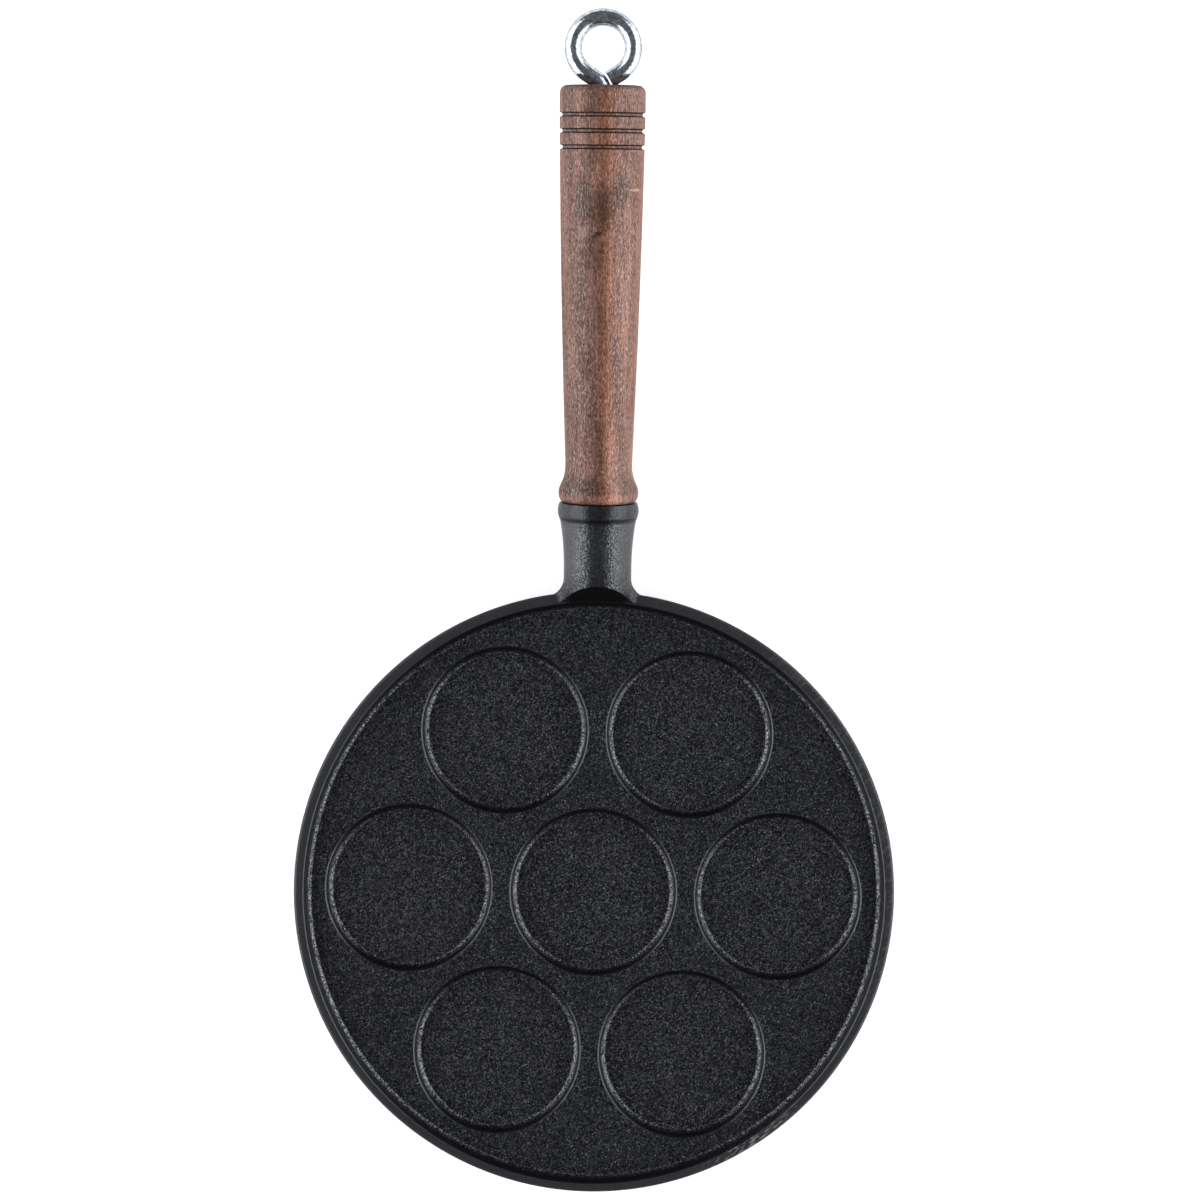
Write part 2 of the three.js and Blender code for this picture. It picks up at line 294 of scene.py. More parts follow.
class NodeSheet:
    """Node tree in the making, with short calls for the nodes that the finishes and the studio share."""

    def __init__(self, tree: NodeTree) -> None:
        """Starts on the node tree of a material or of the world."""
        self.nodes = tree.nodes
        self.links = tree.links

    def put(self, socket: NodeSocket, value: object) -> None:
        """Links a socket into an input, or sets the input's value.

        Args:
            socket: Input of a node.
            value: Output that feeds it, or its value.
        """
        if isinstance(value, NodeSocket):
            self.links.new(value, socket)
        else:
            socket.default_value = value

    def node(self, kind: str, inputs: Mapping[str | int, object], **settings: str) -> Node:
        """Adds a node, sets it up and feeds its inputs.

        Args:
            kind: Blender's name for this kind of node, without the prefix that all of them share.
            inputs: Values or sockets, by the name or the number of the input.
            settings: Settings of the node.

        Returns:
            The node.
        """
        node = self.nodes.new(f"ShaderNode{kind}")
        for name, value in settings.items():
            setattr(node, name, value)
        for name, value in inputs.items():
            self.put(node.inputs[name], value)
        return node

    def moved(
        self,
        vector: NodeSocket,
        location: Sequence[float] = (0.0, 0.0, 0.0),
        rotation: Sequence[float] = (0.0, 0.0, 0.0),
        scale: Sequence[float] = (1.0, 1.0, 1.0),
        shift: Shift = Shift.THERE,
    ) -> NodeSocket:
        """Moves, turns and stretches a place.

        Args:
            vector: Place to change.
            location: Shift.
            rotation: Turn in degrees.
            scale: Stretch.
            shift: Which way the place is moved.

        Returns:
            The changed place.
        """
        turn = [math.radians(angle) for angle in rotation]
        inputs = {"Vector": vector, "Location": location, "Rotation": turn, "Scale": scale}
        return self.node("Mapping", inputs, vector_type=shift.value).outputs["Vector"]

    def noise(
        self,
        vector: NodeSocket,
        grain: float,
        detail: float = 2.0,
        roughness: float = 0.5,
        distortion: float = 0.0,
    ) -> NodeSocket:
        """Cloudy noise from 0 to 1.

        Args:
            vector: Place.
            grain: Size of one cloud in millimetres.
            detail: Number of finer layers.
            roughness: Strength of the finer layers.
            distortion: Swirl.

        Returns:
            The noise.
        """
        inputs = {
            "Vector": vector,
            "Scale": 1.0 / (grain * METRES),
            "Detail": detail,
            "Roughness": roughness,
            "Distortion": distortion,
        }
        return self.node("TexNoise", inputs).outputs["Fac"]

    def cells(self, vector: NodeSocket, grain: float) -> Node:
        """Cells of a given size in millimetres, as a Voronoi node."""
        return self.node("TexVoronoi", {"Vector": vector, "Scale": 1.0 / (grain * METRES)})

    def sum(self, kind: Sum, first: object, second: object = 0.0, third: object = 0.0) -> NodeSocket:
        """Result of a Math node on up to three numbers or sockets."""
        return self.node("Math", {0: first, 1: second, 2: third}, operation=kind.value).outputs["Value"]

    def product(self, first: object, *others: object) -> NodeSocket:
        """Product of two or more numbers.

        Args:
            first: Number or socket.
            others: Numbers or sockets.

        Returns:
            The product.
        """
        for other in others:
            first = self.sum(Sum.MULTIPLY, first, other)
        return first

    def span(
        self, value: NodeSocket, low: float, high: float, start: object = 0.0, end: object = 1.0
    ) -> NodeSocket:
        """Smoothly maps a number from low..high to start..end."""
        inputs = {"Value": value, "From Min": low, "From Max": high, "To Min": start, "To Max": end}
        return self.node("MapRange", inputs, interpolation_type="SMOOTHSTEP").outputs["Result"]

    def hump(self, distance: NodeSocket, hump: Hump) -> NodeSocket:
        """Number that rises and falls back along a distance.

        Args:
            distance: Distance in metres.
            hump: Where it rises and falls, and how high it is between.

        Returns:
            The number.
        """
        up = self.span(distance, hump.rise * METRES, hump.full * METRES)
        down = self.span(distance, hump.fall * METRES, hump.end * METRES, hump.height, 0.0)
        return self.product(up, down)

    def mixed(self, share: object, first: object, second: object) -> NodeSocket:
        """Colour between two colours.

        Args:
            share: How much of the second colour.
            first: Colour or socket.
            second: Colour or socket.

        Returns:
            The mixed colour.
        """
        node = self.node("Mix", {"Factor": share}, data_type="RGBA")
        ends = [socket for socket in node.inputs if socket.type == "RGBA"]
        for socket, value in zip(ends, (first, second)):
            self.put(socket, value if isinstance(value, NodeSocket) else (*value, 1.0))
        return next(socket for socket in node.outputs if socket.type == "RGBA")

    def ramp(self, value: NodeSocket, stops: Sequence[tuple[float, Triple]]) -> NodeSocket:
        """Colour from a row of stops.

        Args:
            value: Number from 0 to 1.
            stops: Places with their colours.

        Returns:
            The colour.
        """
        node = self.node("ValToRGB", {"Fac": value})
        elements = node.color_ramp.elements
        while len(elements) < len(stops):
            elements.new(0.5)
        for element, (place, colour) in zip(elements, stops):
            element.position = place
            element.color = (*colour, 1.0)
        return node.outputs["Color"]

    def length(self, vector: NodeSocket) -> NodeSocket:
        """Length of a vector."""
        return self.node("VectorMath", {0: vector}, operation="LENGTH").outputs["Value"]

    def scaled(self, vector: NodeSocket, factor: NodeSocket) -> NodeSocket:
        """Vector or colour that is made larger or smaller by a factor."""
        return self.node("VectorMath", {0: vector, "Scale": factor}, operation="SCALE").outputs["Vector"]

    def marked(self, name: str) -> NodeSocket:
        """Number that the mesh carries under a name."""
        return self.node("Attribute", {}, attribute_name=name).outputs["Fac"]

    def glancing(self, low: float, high: float, start: float, end: float) -> NodeSocket:
        """Number that goes from start to end as the surface turns away from the eye."""
        turned = self.node("LayerWeight", {"Blend": 0.5}).outputs["Facing"]
        return self.span(turned, low, high, start, end)

    def rays(self, first: Ray, *others: Ray) -> NodeSocket:
        """Tells rays of some kinds from all others.

        Args:
            first: Kind of ray.
            others: More kinds of ray.

        Returns:
            1 for these rays and 0 for the others.
        """
        path = self.node("LightPath", {})
        told = path.outputs[first.value]
        for other in others:
            told = self.sum(Sum.LARGER, told, path.outputs[other.value])
        return told


class FinishSheet(NodeSheet):
    """Node tree of one material, round a Principled shader."""

    def __init__(self, name: str) -> None:
        """Starts a material.

        Args:
            name: Name of the material.
        """
        self.material = bpy.data.materials.new(name)
        self.material.use_nodes = True
        super().__init__(self.material.node_tree)
        self.nodes.clear()
        self.shader = self.node("BsdfPrincipled", {})
        self.node("OutputMaterial", {"Surface": self.shader.outputs["BSDF"]})
        self.place = self.node("TexCoord", {}).outputs["Object"]

    def feed(self, name: str, value: object) -> None:
        """Sets or links one input of the shader."""
        self.put(self.shader.inputs[name], value)

    def relief(self, height: NodeSocket, depth: float = 1.0) -> None:
        """Gives the shader a bump whose height from 0 to 1 is a depth in millimetres."""
        inputs = {"Strength": 1.0, "Distance": depth * METRES, "Height": height}
        self.feed("Normal", self.node("Bump", inputs).outputs["Normal"])


@dataclass(frozen=True)
class IronSkin:
    """What the iron's colour, shine and relief share: the casting's marks, its grains and its lumps."""

    sand: NodeSocket
    pebble: NodeSocket
    ground: NodeSocket
    # Mask of the shade that is painted into the colour.
    painted_shade: NodeSocket
    chances: Node
    near: NodeSocket
    tone: NodeSocket
    lumps: NodeSocket


@dataclass(frozen=True)
class IronFinish:
    """Seasoned cast iron: sandy from the mould, pebbled on the neck, satin where ground, with shade painted
    into corners and onto walls that face along the handle.
    """

    pit: Triple = (0.0026, 0.0028, 0.0037)
    middle: Triple = (0.0072, 0.0078, 0.0100)
    light: Triple = (0.023, 0.0245, 0.0295)
    # The brightest grain tone and the rare sparks are painted glints, laid over the grain's random tone.
    glint: Triple = (0.080, 0.083, 0.092)
    spark: Triple = (0.26, 0.265, 0.28)
    satin: Triple = (0.0207, 0.0215, 0.0245)
    # Near-black colour of the painted shade.
    painted_shade: Triple = (0.0041, 0.0041, 0.0044)
    scratch: Triple = (0.22, 0.222, 0.23)
    tint: Triple = (0.91, 0.935, 1.0)
    grain: float = 0.45
    mottle_size: float = 0.65
    lump_size: float = 1.0
    cloud_size: float = 14.0
    scratch_size: float = 0.9
    scratch_stretch: float = 4.0
    scratch_turn: float = 42.0
    sand_depth: float = 0.30
    pebble_depth: float = 0.21
    mottle_share: float = 0.2
    spark_chance: float = 0.88
    painted_shade_cover: float = 0.95
    gloss_gain: float = 0.36
    edge_shine: float = 0.37
    painted_shade_shine: float = 0.2
    sandy: tuple[float, float] = (0.4, 0.9)
    roughness: tuple[float, float] = (0.27, 0.33)
    ground_roughness: float = 0.12

    def skin(self, sheet: FinishSheet) -> IronSkin:
        """Lays out the grains and lumps of the casting.

        Args:
            sheet: Sheet of the material.

        Returns:
            The marks, grains and lumps.
        """
        sand = sheet.marked("sand")
        cells = sheet.cells(sheet.place, self.grain)
        chances = sheet.node("SeparateColor", {"Color": cells.outputs["Color"]})
        mottle = sheet.span(sheet.noise(sheet.place, self.mottle_size, 2.0, 0.6), 0.3, 0.7)
        mottle = sheet.product(mottle, self.mottle_share)
        tone = sheet.sum(Sum.MULTIPLY_ADD, chances.outputs["Green"], 1.0 - self.mottle_share, mottle)
        tone = sheet.sum(Sum.MULTIPLY_ADD, sheet.sum(Sum.SUBTRACT, tone, 0.5), sand, 0.5)
        return IronSkin(
            sand=sand,
            pebble=sheet.marked("pebble"),
            ground=sheet.marked("ground"),
            painted_shade=sheet.marked("painted_shade"),
            chances=chances,
            near=sheet.span(cells.outputs["Distance"], 0.25, 0.6, 1.0, 0.0),
            tone=tone,
            lumps=sheet.noise(sheet.place, self.lump_size, 2.0, 0.5, 0.2),
        )

    def colour(self, sheet: FinishSheet, skin: IronSkin) -> NodeSocket:
        """Colour of the iron: sandy grains whose brightest grains and rare sparks are painted glints, the
        ground satin, scratches, and painted shade over all.

        Args:
            sheet: Sheet of the material.
            skin: Marks, grains and lumps.

        Returns:
            The colour.
        """
        # Random grain tone; its brightest stop and the rare sparks below are painted glints.
        stops = ((0.14, self.pit), (0.5, self.middle), (0.76, self.light), (0.95, self.glint))
        body = sheet.ramp(skin.tone, stops)
        rare = sheet.span(skin.chances.outputs["Red"], self.spark_chance, 1.0)
        speck = sheet.product(rare, skin.near, skin.sand)
        colour = sheet.mixed(skin.ground, sheet.mixed(speck, body, self.spark), self.satin)
        turn = (0.0, 0.0, self.scratch_turn)
        stretch = (self.scratch_stretch, 1.0, 1.0)
        streaks = sheet.moved(sheet.place, rotation=turn, scale=stretch, shift=Shift.BACK)
        rubbed = sheet.span(sheet.noise(streaks, self.scratch_size, 3.0, 0.65), 0.50, 0.66)
        colour = sheet.mixed(sheet.product(rubbed, sheet.marked("scuff")), colour, self.scratch)
        # Painted shade: darkens the colour to near black on the neck's end face, the lip under it, the valley
        # before the collar and walls facing along the handle.
        return sheet.mixed(sheet.product(skin.painted_shade, self.painted_shade_cover), colour, self.painted_shade)

    def shine(self, sheet: FinishSheet, skin: IronSkin) -> NodeSocket:
        """Strength of the reflection: by grain and polish, with sparkle on pebbles and little under the
        painted shade.

        Args:
            sheet: Sheet of the material.
            skin: Marks, grains and lumps.

        Returns:
            The strength.
        """
        level = sheet.span(skin.tone, 0.15, 0.85, 0.2, 0.85)
        level = sheet.sum(Sum.MULTIPLY_ADD, sheet.marked("gloss"), self.gloss_gain, level)
        gleam = sheet.product(skin.pebble, sheet.span(skin.sand, *self.sandy, 0.0, 0.55))
        lumps = sheet.product(skin.lumps, 0.5)
        glints = sheet.sum(Sum.MULTIPLY_ADD, skin.chances.outputs["Blue"], 0.5, lumps)
        sparkle = sheet.product(
            skin.pebble,
            sheet.glancing(0.12, 0.30, 1.0, 0.15),
            sheet.span(skin.sand, *self.sandy, 0.62, 1.15),
        )
        sparkle = sheet.sum(Sum.MULTIPLY_ADD, sheet.span(glints, 0.3, 0.7, -1.0, 1.0), sparkle, 1.0)
        return sheet.product(
            sheet.glancing(0.35, 0.78, 1.0, self.edge_shine),
            sparkle,
            sheet.sum(Sum.ADD, level, gleam),
            sheet.span(skin.painted_shade, 0.0, 1.0, 1.0, self.painted_shade_shine),
        )

    def height(self, sheet: FinishSheet, skin: IronSkin) -> NodeSocket:
        """Height of the grit and the pebbles in millimetres.

        Args:
            sheet: Sheet of the material.
            skin: Marks, grains and lumps.

        Returns:
            The height.
        """
        grit = sheet.noise(sheet.place, self.lump_size, 2.0, 0.6)
        grit = sheet.product(grit, self.sand_depth, skin.sand)
        return sheet.sum(Sum.ADD, grit, sheet.product(skin.lumps, self.pebble_depth, skin.pebble))

    def material(self) -> Material:
        """Builds the material.

        Returns:
            The material, which reads the attributes sand, pebble, ground, gloss, the painted shade and scuff.
        """
        sheet = FinishSheet("seasoned_cast_iron")
        skin = self.skin(sheet)
        sheet.feed("Base Color", self.colour(sheet, skin))
        sheet.feed("Metallic", 0.0)
        sheet.feed("Specular IOR Level", self.shine(sheet, skin))
        sheet.feed("Specular Tint", (*self.tint, 1.0))
        clouds = sheet.noise(sheet.place, self.cloud_size, 4.0)
        rough = sheet.span(clouds, 0.3, 0.7, *self.roughness)
        sheet.feed("Roughness", sheet.sum(Sum.MULTIPLY_ADD, skin.ground, self.ground_roughness, rough))
        sheet.relief(self.height(sheet, skin))
        return sheet.material


@dataclass(frozen=True)
class WoodGrain:
    """What the wood's colour, shine and relief share: places on the handle, and noise along its fibres."""

    local: NodeSocket
    across: NodeSocket
    along: NodeSocket
    bands: NodeSocket
    fibres: NodeSocket
    flecks: NodeSocket
    strokes: NodeSocket
    ragged: NodeSocket


@dataclass(frozen=True)
class Spot:
    """Soft ragged spot on the wood: its middle and half size, in millimetres from the front face."""

    colour: Triple
    centre: Triple
    reach: Triple
    strength: float
    flaked: bool = False


@dataclass(frozen=True)
class Slope:
    """Stretch across the handle, in millimetres, over which painted light makes the wood lighter or darker.
    """

    start: float
    end: float
    before: float
    after: float


@dataclass(frozen=True)
class WoodFinish:
    """Stained and oiled hardwood with short fibres, a knot and a few ragged grey patches."""

    dark: Triple = (0.118, 0.054, 0.039)
    brown: Triple = (0.196, 0.095, 0.070)
    warm: Triple = (0.30, 0.147, 0.105)
    orange: Triple = (0.215, 0.078, 0.036)
    pale: Triple = (0.50, 0.33, 0.275)
    grey: Triple = (0.058, 0.037, 0.030)
    umber: Triple = (0.062, 0.026, 0.016)
    seam: Triple = (0.034, 0.016, 0.011)
    knot: Triple = (0.016, 0.010, 0.008)
    band_size: float = 5.0
    fibre_size: float = 0.75
    fibre_stretch: float = 0.05
    fleck_size: float = 0.43
    fleck_stretch: float = 0.31
    stroke_size: float = 0.5
    ragged_size: float = 1.7
    flake_size: float = 0.8
    fray: float = 1.3
    glow: Hump = Hump(-2.0, 1.0, 2.0, 5.5)
    # Band along which the pale strokes are laid on more heavily as a painted highlight.
    sheen: Hump = Hump(1.0, 4.0, 6.5, 10.0)
    # Painted highlight along the bead's crest and painted shade in the hollow behind it.
    crest: Hump = Hump(0.8, 1.8, 2.6, 4.0, 0.22)
    hollow: Hump = Hump(3.0, 4.5, 8.0, 13.0, -0.36)
    # Painted light across the handle: darker at the far left and along the middle, and a painted highlight
    # band right of the middle.
    painted_light_slopes: tuple[Slope, ...] = (
        Slope(-13.0, -8.5, 0.92, 1.04),
        Slope(-6.0, -1.0, 0.0, -0.13),
        Slope(0.6, 4.6, 0.0, 0.84),
        Slope(6.6, 10.0, 0.0, -0.32),
    )
    stripe_waver: float = 0.5
    stripe_middle: float = 0.38
    stripe_out: float = 0.25
    stripe_edge: tuple[float, float] = (0.22, 0.45)
    seam_cover: float = 0.95
    edge_shine: float = 0.06
    roughness: tuple[float, float] = (0.25, 0.40)
    depth: float = 0.16

    def spots(self) -> tuple[Spot, ...]:
        """Patches, the knot and what lies round it, in the order in which they cover each other.

        Returns:
            The spots.
        """
        return (
            Spot(self.grey, (-7.2, 114.2, 13.5), (5.4, 10.8, 6.5), 0.75, flaked=True),
            Spot(self.grey, (7.0, 118.3, 13.8), (4.9, 8.2, 6.0), 0.9, flaked=True),
            Spot(self.umber, (-4.9, 53.2, 12.8), (3.8, 7.0, 6.0), 0.6, flaked=True),
            Spot(self.umber, (-0.6, 111.0, 15.0), (6.0, 11.0, 6.0), 0.72),
            Spot(self.umber, (-2.8, 95.5, 14.8), (4.2, 9.8, 6.0), 0.6),
            Spot(self.umber, (-4.0, 130.2, 14.6), (3.6, 5.0, 6.0), 0.5),
            Spot(self.umber, (-3.8, 152.0, 15.2), (4.0, 9.0, 6.0), 0.4),
            Spot(self.pale, (-6.8, 102.6, 13.6), (2.8, 3.2, 5.0), 0.3),
            Spot(self.warm, (1.9, 100.2, 14.8), (3.2, 1.2, 4.0), 0.7),
            Spot(self.knot, (-1.3, 102.0, 14.8), (1.6, 1.1, 4.0), 1.0),
            Spot(self.knot, (-2.5, 100.9, 14.6), (2.0, 0.8, 4.0), 0.6),
        )

    def grain(self, sheet: FinishSheet, handle: "WoodenHandle") -> WoodGrain:
        """Lays out the fibres along the handle.

        Args:
            sheet: Sheet of the material.
            handle: Handle that the fibres follow.

        Returns:
            The places and the noise.
        """
        start = handle.line.matrix() @ Vector((0.0, handle.front, 0.0)) * METRES
        local = sheet.moved(sheet.place, start, (handle.line.tilt, 0.0, 0.0), shift=Shift.BACK)
        place = sheet.node("SeparateXYZ", {"Vector": local})
        long = sheet.moved(local, scale=(1.0, self.fibre_stretch, 1.0))
        short = sheet.moved(local, scale=(1.0, self.fleck_stretch, 1.0))
        return WoodGrain(
            local=local,
            across=place.outputs["X"],
            along=place.outputs["Y"],
            bands=sheet.noise(long, self.band_size, 3.0, 0.55, 0.4),
            fibres=sheet.noise(long, self.fibre_size, 3.0, 0.6),
            flecks=sheet.noise(short, self.fleck_size, 2.0, 0.6),
            strokes=sheet.noise(short, self.stroke_size, 1.0, 0.5, 0.5),
            ragged=sheet.noise(local, self.ragged_size, 4.0, 0.65),
        )

    def stain(self, sheet: FinishSheet, grain: WoodGrain) -> NodeSocket:
        """Stain with its bands and its warm glow, under painted light that makes its sides lighter and darker
        with a highlight band, a painted highlight on the bead's crest with painted shade in its hollow, and
        pale strokes laid on most heavily along the painted highlight.

        Args:
            sheet: Sheet of the material.
            grain: Places and noise.

        Returns:
            The colour.
        """
        body = sheet.ramp(grain.bands, ((0.32, self.dark), (0.5, self.brown), (0.68, self.warm)))
        glow = sheet.hump(grain.across, self.glow)
        glow = sheet.product(glow, sheet.span(grain.bands, 0.4, 0.6, 0.3, 0.75))
        body = sheet.mixed(glow, body, self.orange)
        # Painted highlight and painted shade across the handle's sides.
        lit, *others = (
            sheet.span(grain.across, side.start * METRES, side.end * METRES, side.before, side.after)
            for side in self.painted_light_slopes
        )
        for other in others:
            lit = sheet.sum(Sum.ADD, lit, other)
        # Painted highlight on the bead's crest and painted shade in its hollow.
        bead = sheet.sum(
            Sum.ADD, sheet.hump(grain.along, self.crest), sheet.hump(grain.along, self.hollow)
        )
        shade = sheet.product(
            sheet.sum(Sum.ADD, lit, bead),
            sheet.span(grain.fibres, 0.25, 0.75, 0.68, 1.30),
            sheet.span(grain.flecks, 0.3, 0.7, 0.6, 1.4),
        )
        # Pale strokes: the wood's own pale fibres everywhere, and a painted highlight where they thicken
        # along the sheen band.
        sheen = sheet.sum(Sum.MULTIPLY_ADD, sheet.hump(grain.across, self.sheen), 0.28, 0.34)
        strokes = sheet.product(sheet.span(grain.strokes, 0.56, 0.70), sheen)
        return sheet.mixed(strokes, sheet.scaled(body, shade), self.pale)

    def patch(self, sheet: FinishSheet, spot: Spot, local: NodeSocket, ragged: NodeSocket) -> NodeSocket:
        """Shape of one spot.

        Args:
            sheet: Sheet of the material.
            spot: Spot on the wood.
            local: Place measured from the handle's front face.
            ragged: Noise that frays the spot's edge.

        Returns:
            1 in the middle and 0 outside.
        """
        scale = [1.0 / (METRES * size) for size in spot.reach]
        shift = [-METRES * place * stretch for place, stretch in zip(spot.centre, scale)]
        away = sheet.length(sheet.moved(local, shift, scale=scale))
        frayed = sheet.sum(Sum.MULTIPLY_ADD, ragged, self.fray, away)
        return sheet.span(frayed, 1.05, 1.75, 1.0, 0.0)

    def spotted(self, sheet: FinishSheet, grain: WoodGrain, colour: NodeSocket) -> NodeSocket:
        """Lays the spots and a pale scar over the stain.

        Args:
            sheet: Sheet of the material.
            grain: Places and noise.
            colour: Colour of the stain.

        Returns:
            The spotted colour.
        """
        flakes = sheet.span(sheet.noise(grain.local, self.flake_size, 2.0, 0.6), 0.42, 0.55, 0.12, 1.0)
        for spot in self.spots():
            cover = self.patch(sheet, spot, grain.local, grain.ragged)
            if spot.flaked:
                cover = sheet.product(cover, flakes)
            colour = sheet.mixed(sheet.product(cover, spot.strength), colour, spot.colour)
        scar = Spot(self.pale, (12.3, 118.2, 9.2), (4.2, 0.75, 4.0), 0.95)
        cover = self.patch(sheet, scar, grain.local, grain.strokes)
        return sheet.mixed(sheet.product(cover, scar.strength), colour, scar.colour)

    def stripes(self, sheet: FinishSheet, grain: WoodGrain, handle: "WoodenHandle") -> NodeSocket:
        """Dark lines that the turning tool left on both walls of each groove.

        Args:
            sheet: Sheet of the material.
            grain: Places and noise.
            handle: Handle with the grooves.

        Returns:
            1 on a line and 0 elsewhere.
        """
        places = handle.groove_places()
        half = handle.groove_pitch / 2.0
        slack = handle.groove_pitch * 0.3
        shifted = sheet.sum(Sum.SUBTRACT, grain.along, places[0] * METRES)
        near = sheet.sum(Sum.ZIGZAG, shifted, half * METRES)
        near = sheet.sum(Sum.MULTIPLY_ADD, grain.ragged, self.stripe_waver * METRES, near)
        middle = (handle.groove_width * self.stripe_middle + self.stripe_out) * METRES
        off = sheet.sum(Sum.SIZE, sheet.sum(Sum.SUBTRACT, near, middle))
        line = sheet.span(off, *(METRES * edge for edge in self.stripe_edge), 1.0, 0.0)
        grooved = Hump(places[0] - half, places[0] - slack, places[-1] + slack, places[-1] + half)
        return sheet.product(line, sheet.hump(grain.along, grooved))

    def material(self, handle: "WoodenHandle") -> Material:
        """Builds the material.

        Args:
            handle: Handle that the fibres follow.

        Returns:
            The material, which reads the attribute burn.
        """
        sheet = FinishSheet("oiled_wood")
        grain = self.grain(sheet, handle)
        colour = self.spotted(sheet, grain, self.stain(sheet, grain))
        burnt = sheet.sum(Sum.LARGER, sheet.marked("burn"), self.stripes(sheet, grain, handle))
        sheet.feed("Base Color", sheet.mixed(sheet.product(burnt, self.seam_cover), colour, self.seam))
        gleam = sheet.product(
            sheet.glancing(0.35, 0.78, 1.0, self.edge_shine),
            sheet.span(grain.strokes, 0.42, 0.66, 0.25, 0.95),
            sheet.span(grain.flecks, 0.3, 0.7, 0.4, 1.3),
        )
        sheet.feed("Specular IOR Level", gleam)
        sheet.feed("Roughness", sheet.span(grain.flecks, 0.3, 0.7, *self.roughness))
        height = sheet.sum(Sum.MULTIPLY_ADD, grain.strokes, 0.5, grain.fibres)
        sheet.relief(sheet.sum(Sum.MULTIPLY_ADD, grain.flecks, 0.8, height), self.depth)
        return sheet.material


@dataclass(frozen=True)
class SteelFinish:
    """Bright plated steel with a faintly uneven skin."""

    bright: Triple = (0.78, 0.825, 0.89)
    dull: Triple = (0.42, 0.47, 0.55)
    edge: Triple = (0.20, 0.20, 0.205)
    cloud_size: float = 1.5
    speck_size: float = 0.7
    roughness: tuple[float, float] = (0.10, 0.20)
    depth: float = 0.10

    def material(self) -> Material:
        """Builds the material.

        Returns:
            The material.
        """
        sheet = FinishSheet("plated_steel")
        clouds = sheet.noise(sheet.place, self.cloud_size, 4.0, 0.7, 0.5)
        specks = sheet.noise(sheet.place, self.speck_size, 3.0, 0.6)
        sheet.feed("Base Color", sheet.mixed(sheet.span(clouds, 0.38, 0.62), self.bright, self.dull))
        sheet.feed("Metallic", 1.0)
        sheet.feed("Specular Tint", (*self.edge, 1.0))
        sheet.feed("Roughness", sheet.span(specks, 0.3, 0.7, *self.roughness))
        sheet.relief(sheet.sum(Sum.MULTIPLY_ADD, specks, 0.5, clouds), self.depth)
        return sheet.material


@dataclass(frozen=True)
class HandleLine:
    """Axis that the neck, the wooden handle and the bolt share, measured from the rim's outer edge."""

    start: float
    height: float = 13.6
    tilt: float = 8.0

    def matrix(self) -> Matrix:
        """Frame of the axis: Y along it, X across the pan."""
        place = Matrix.Translation((0.0, self.start, self.height))
        return place @ Matrix.Rotation(math.radians(self.tilt), 4, "X")


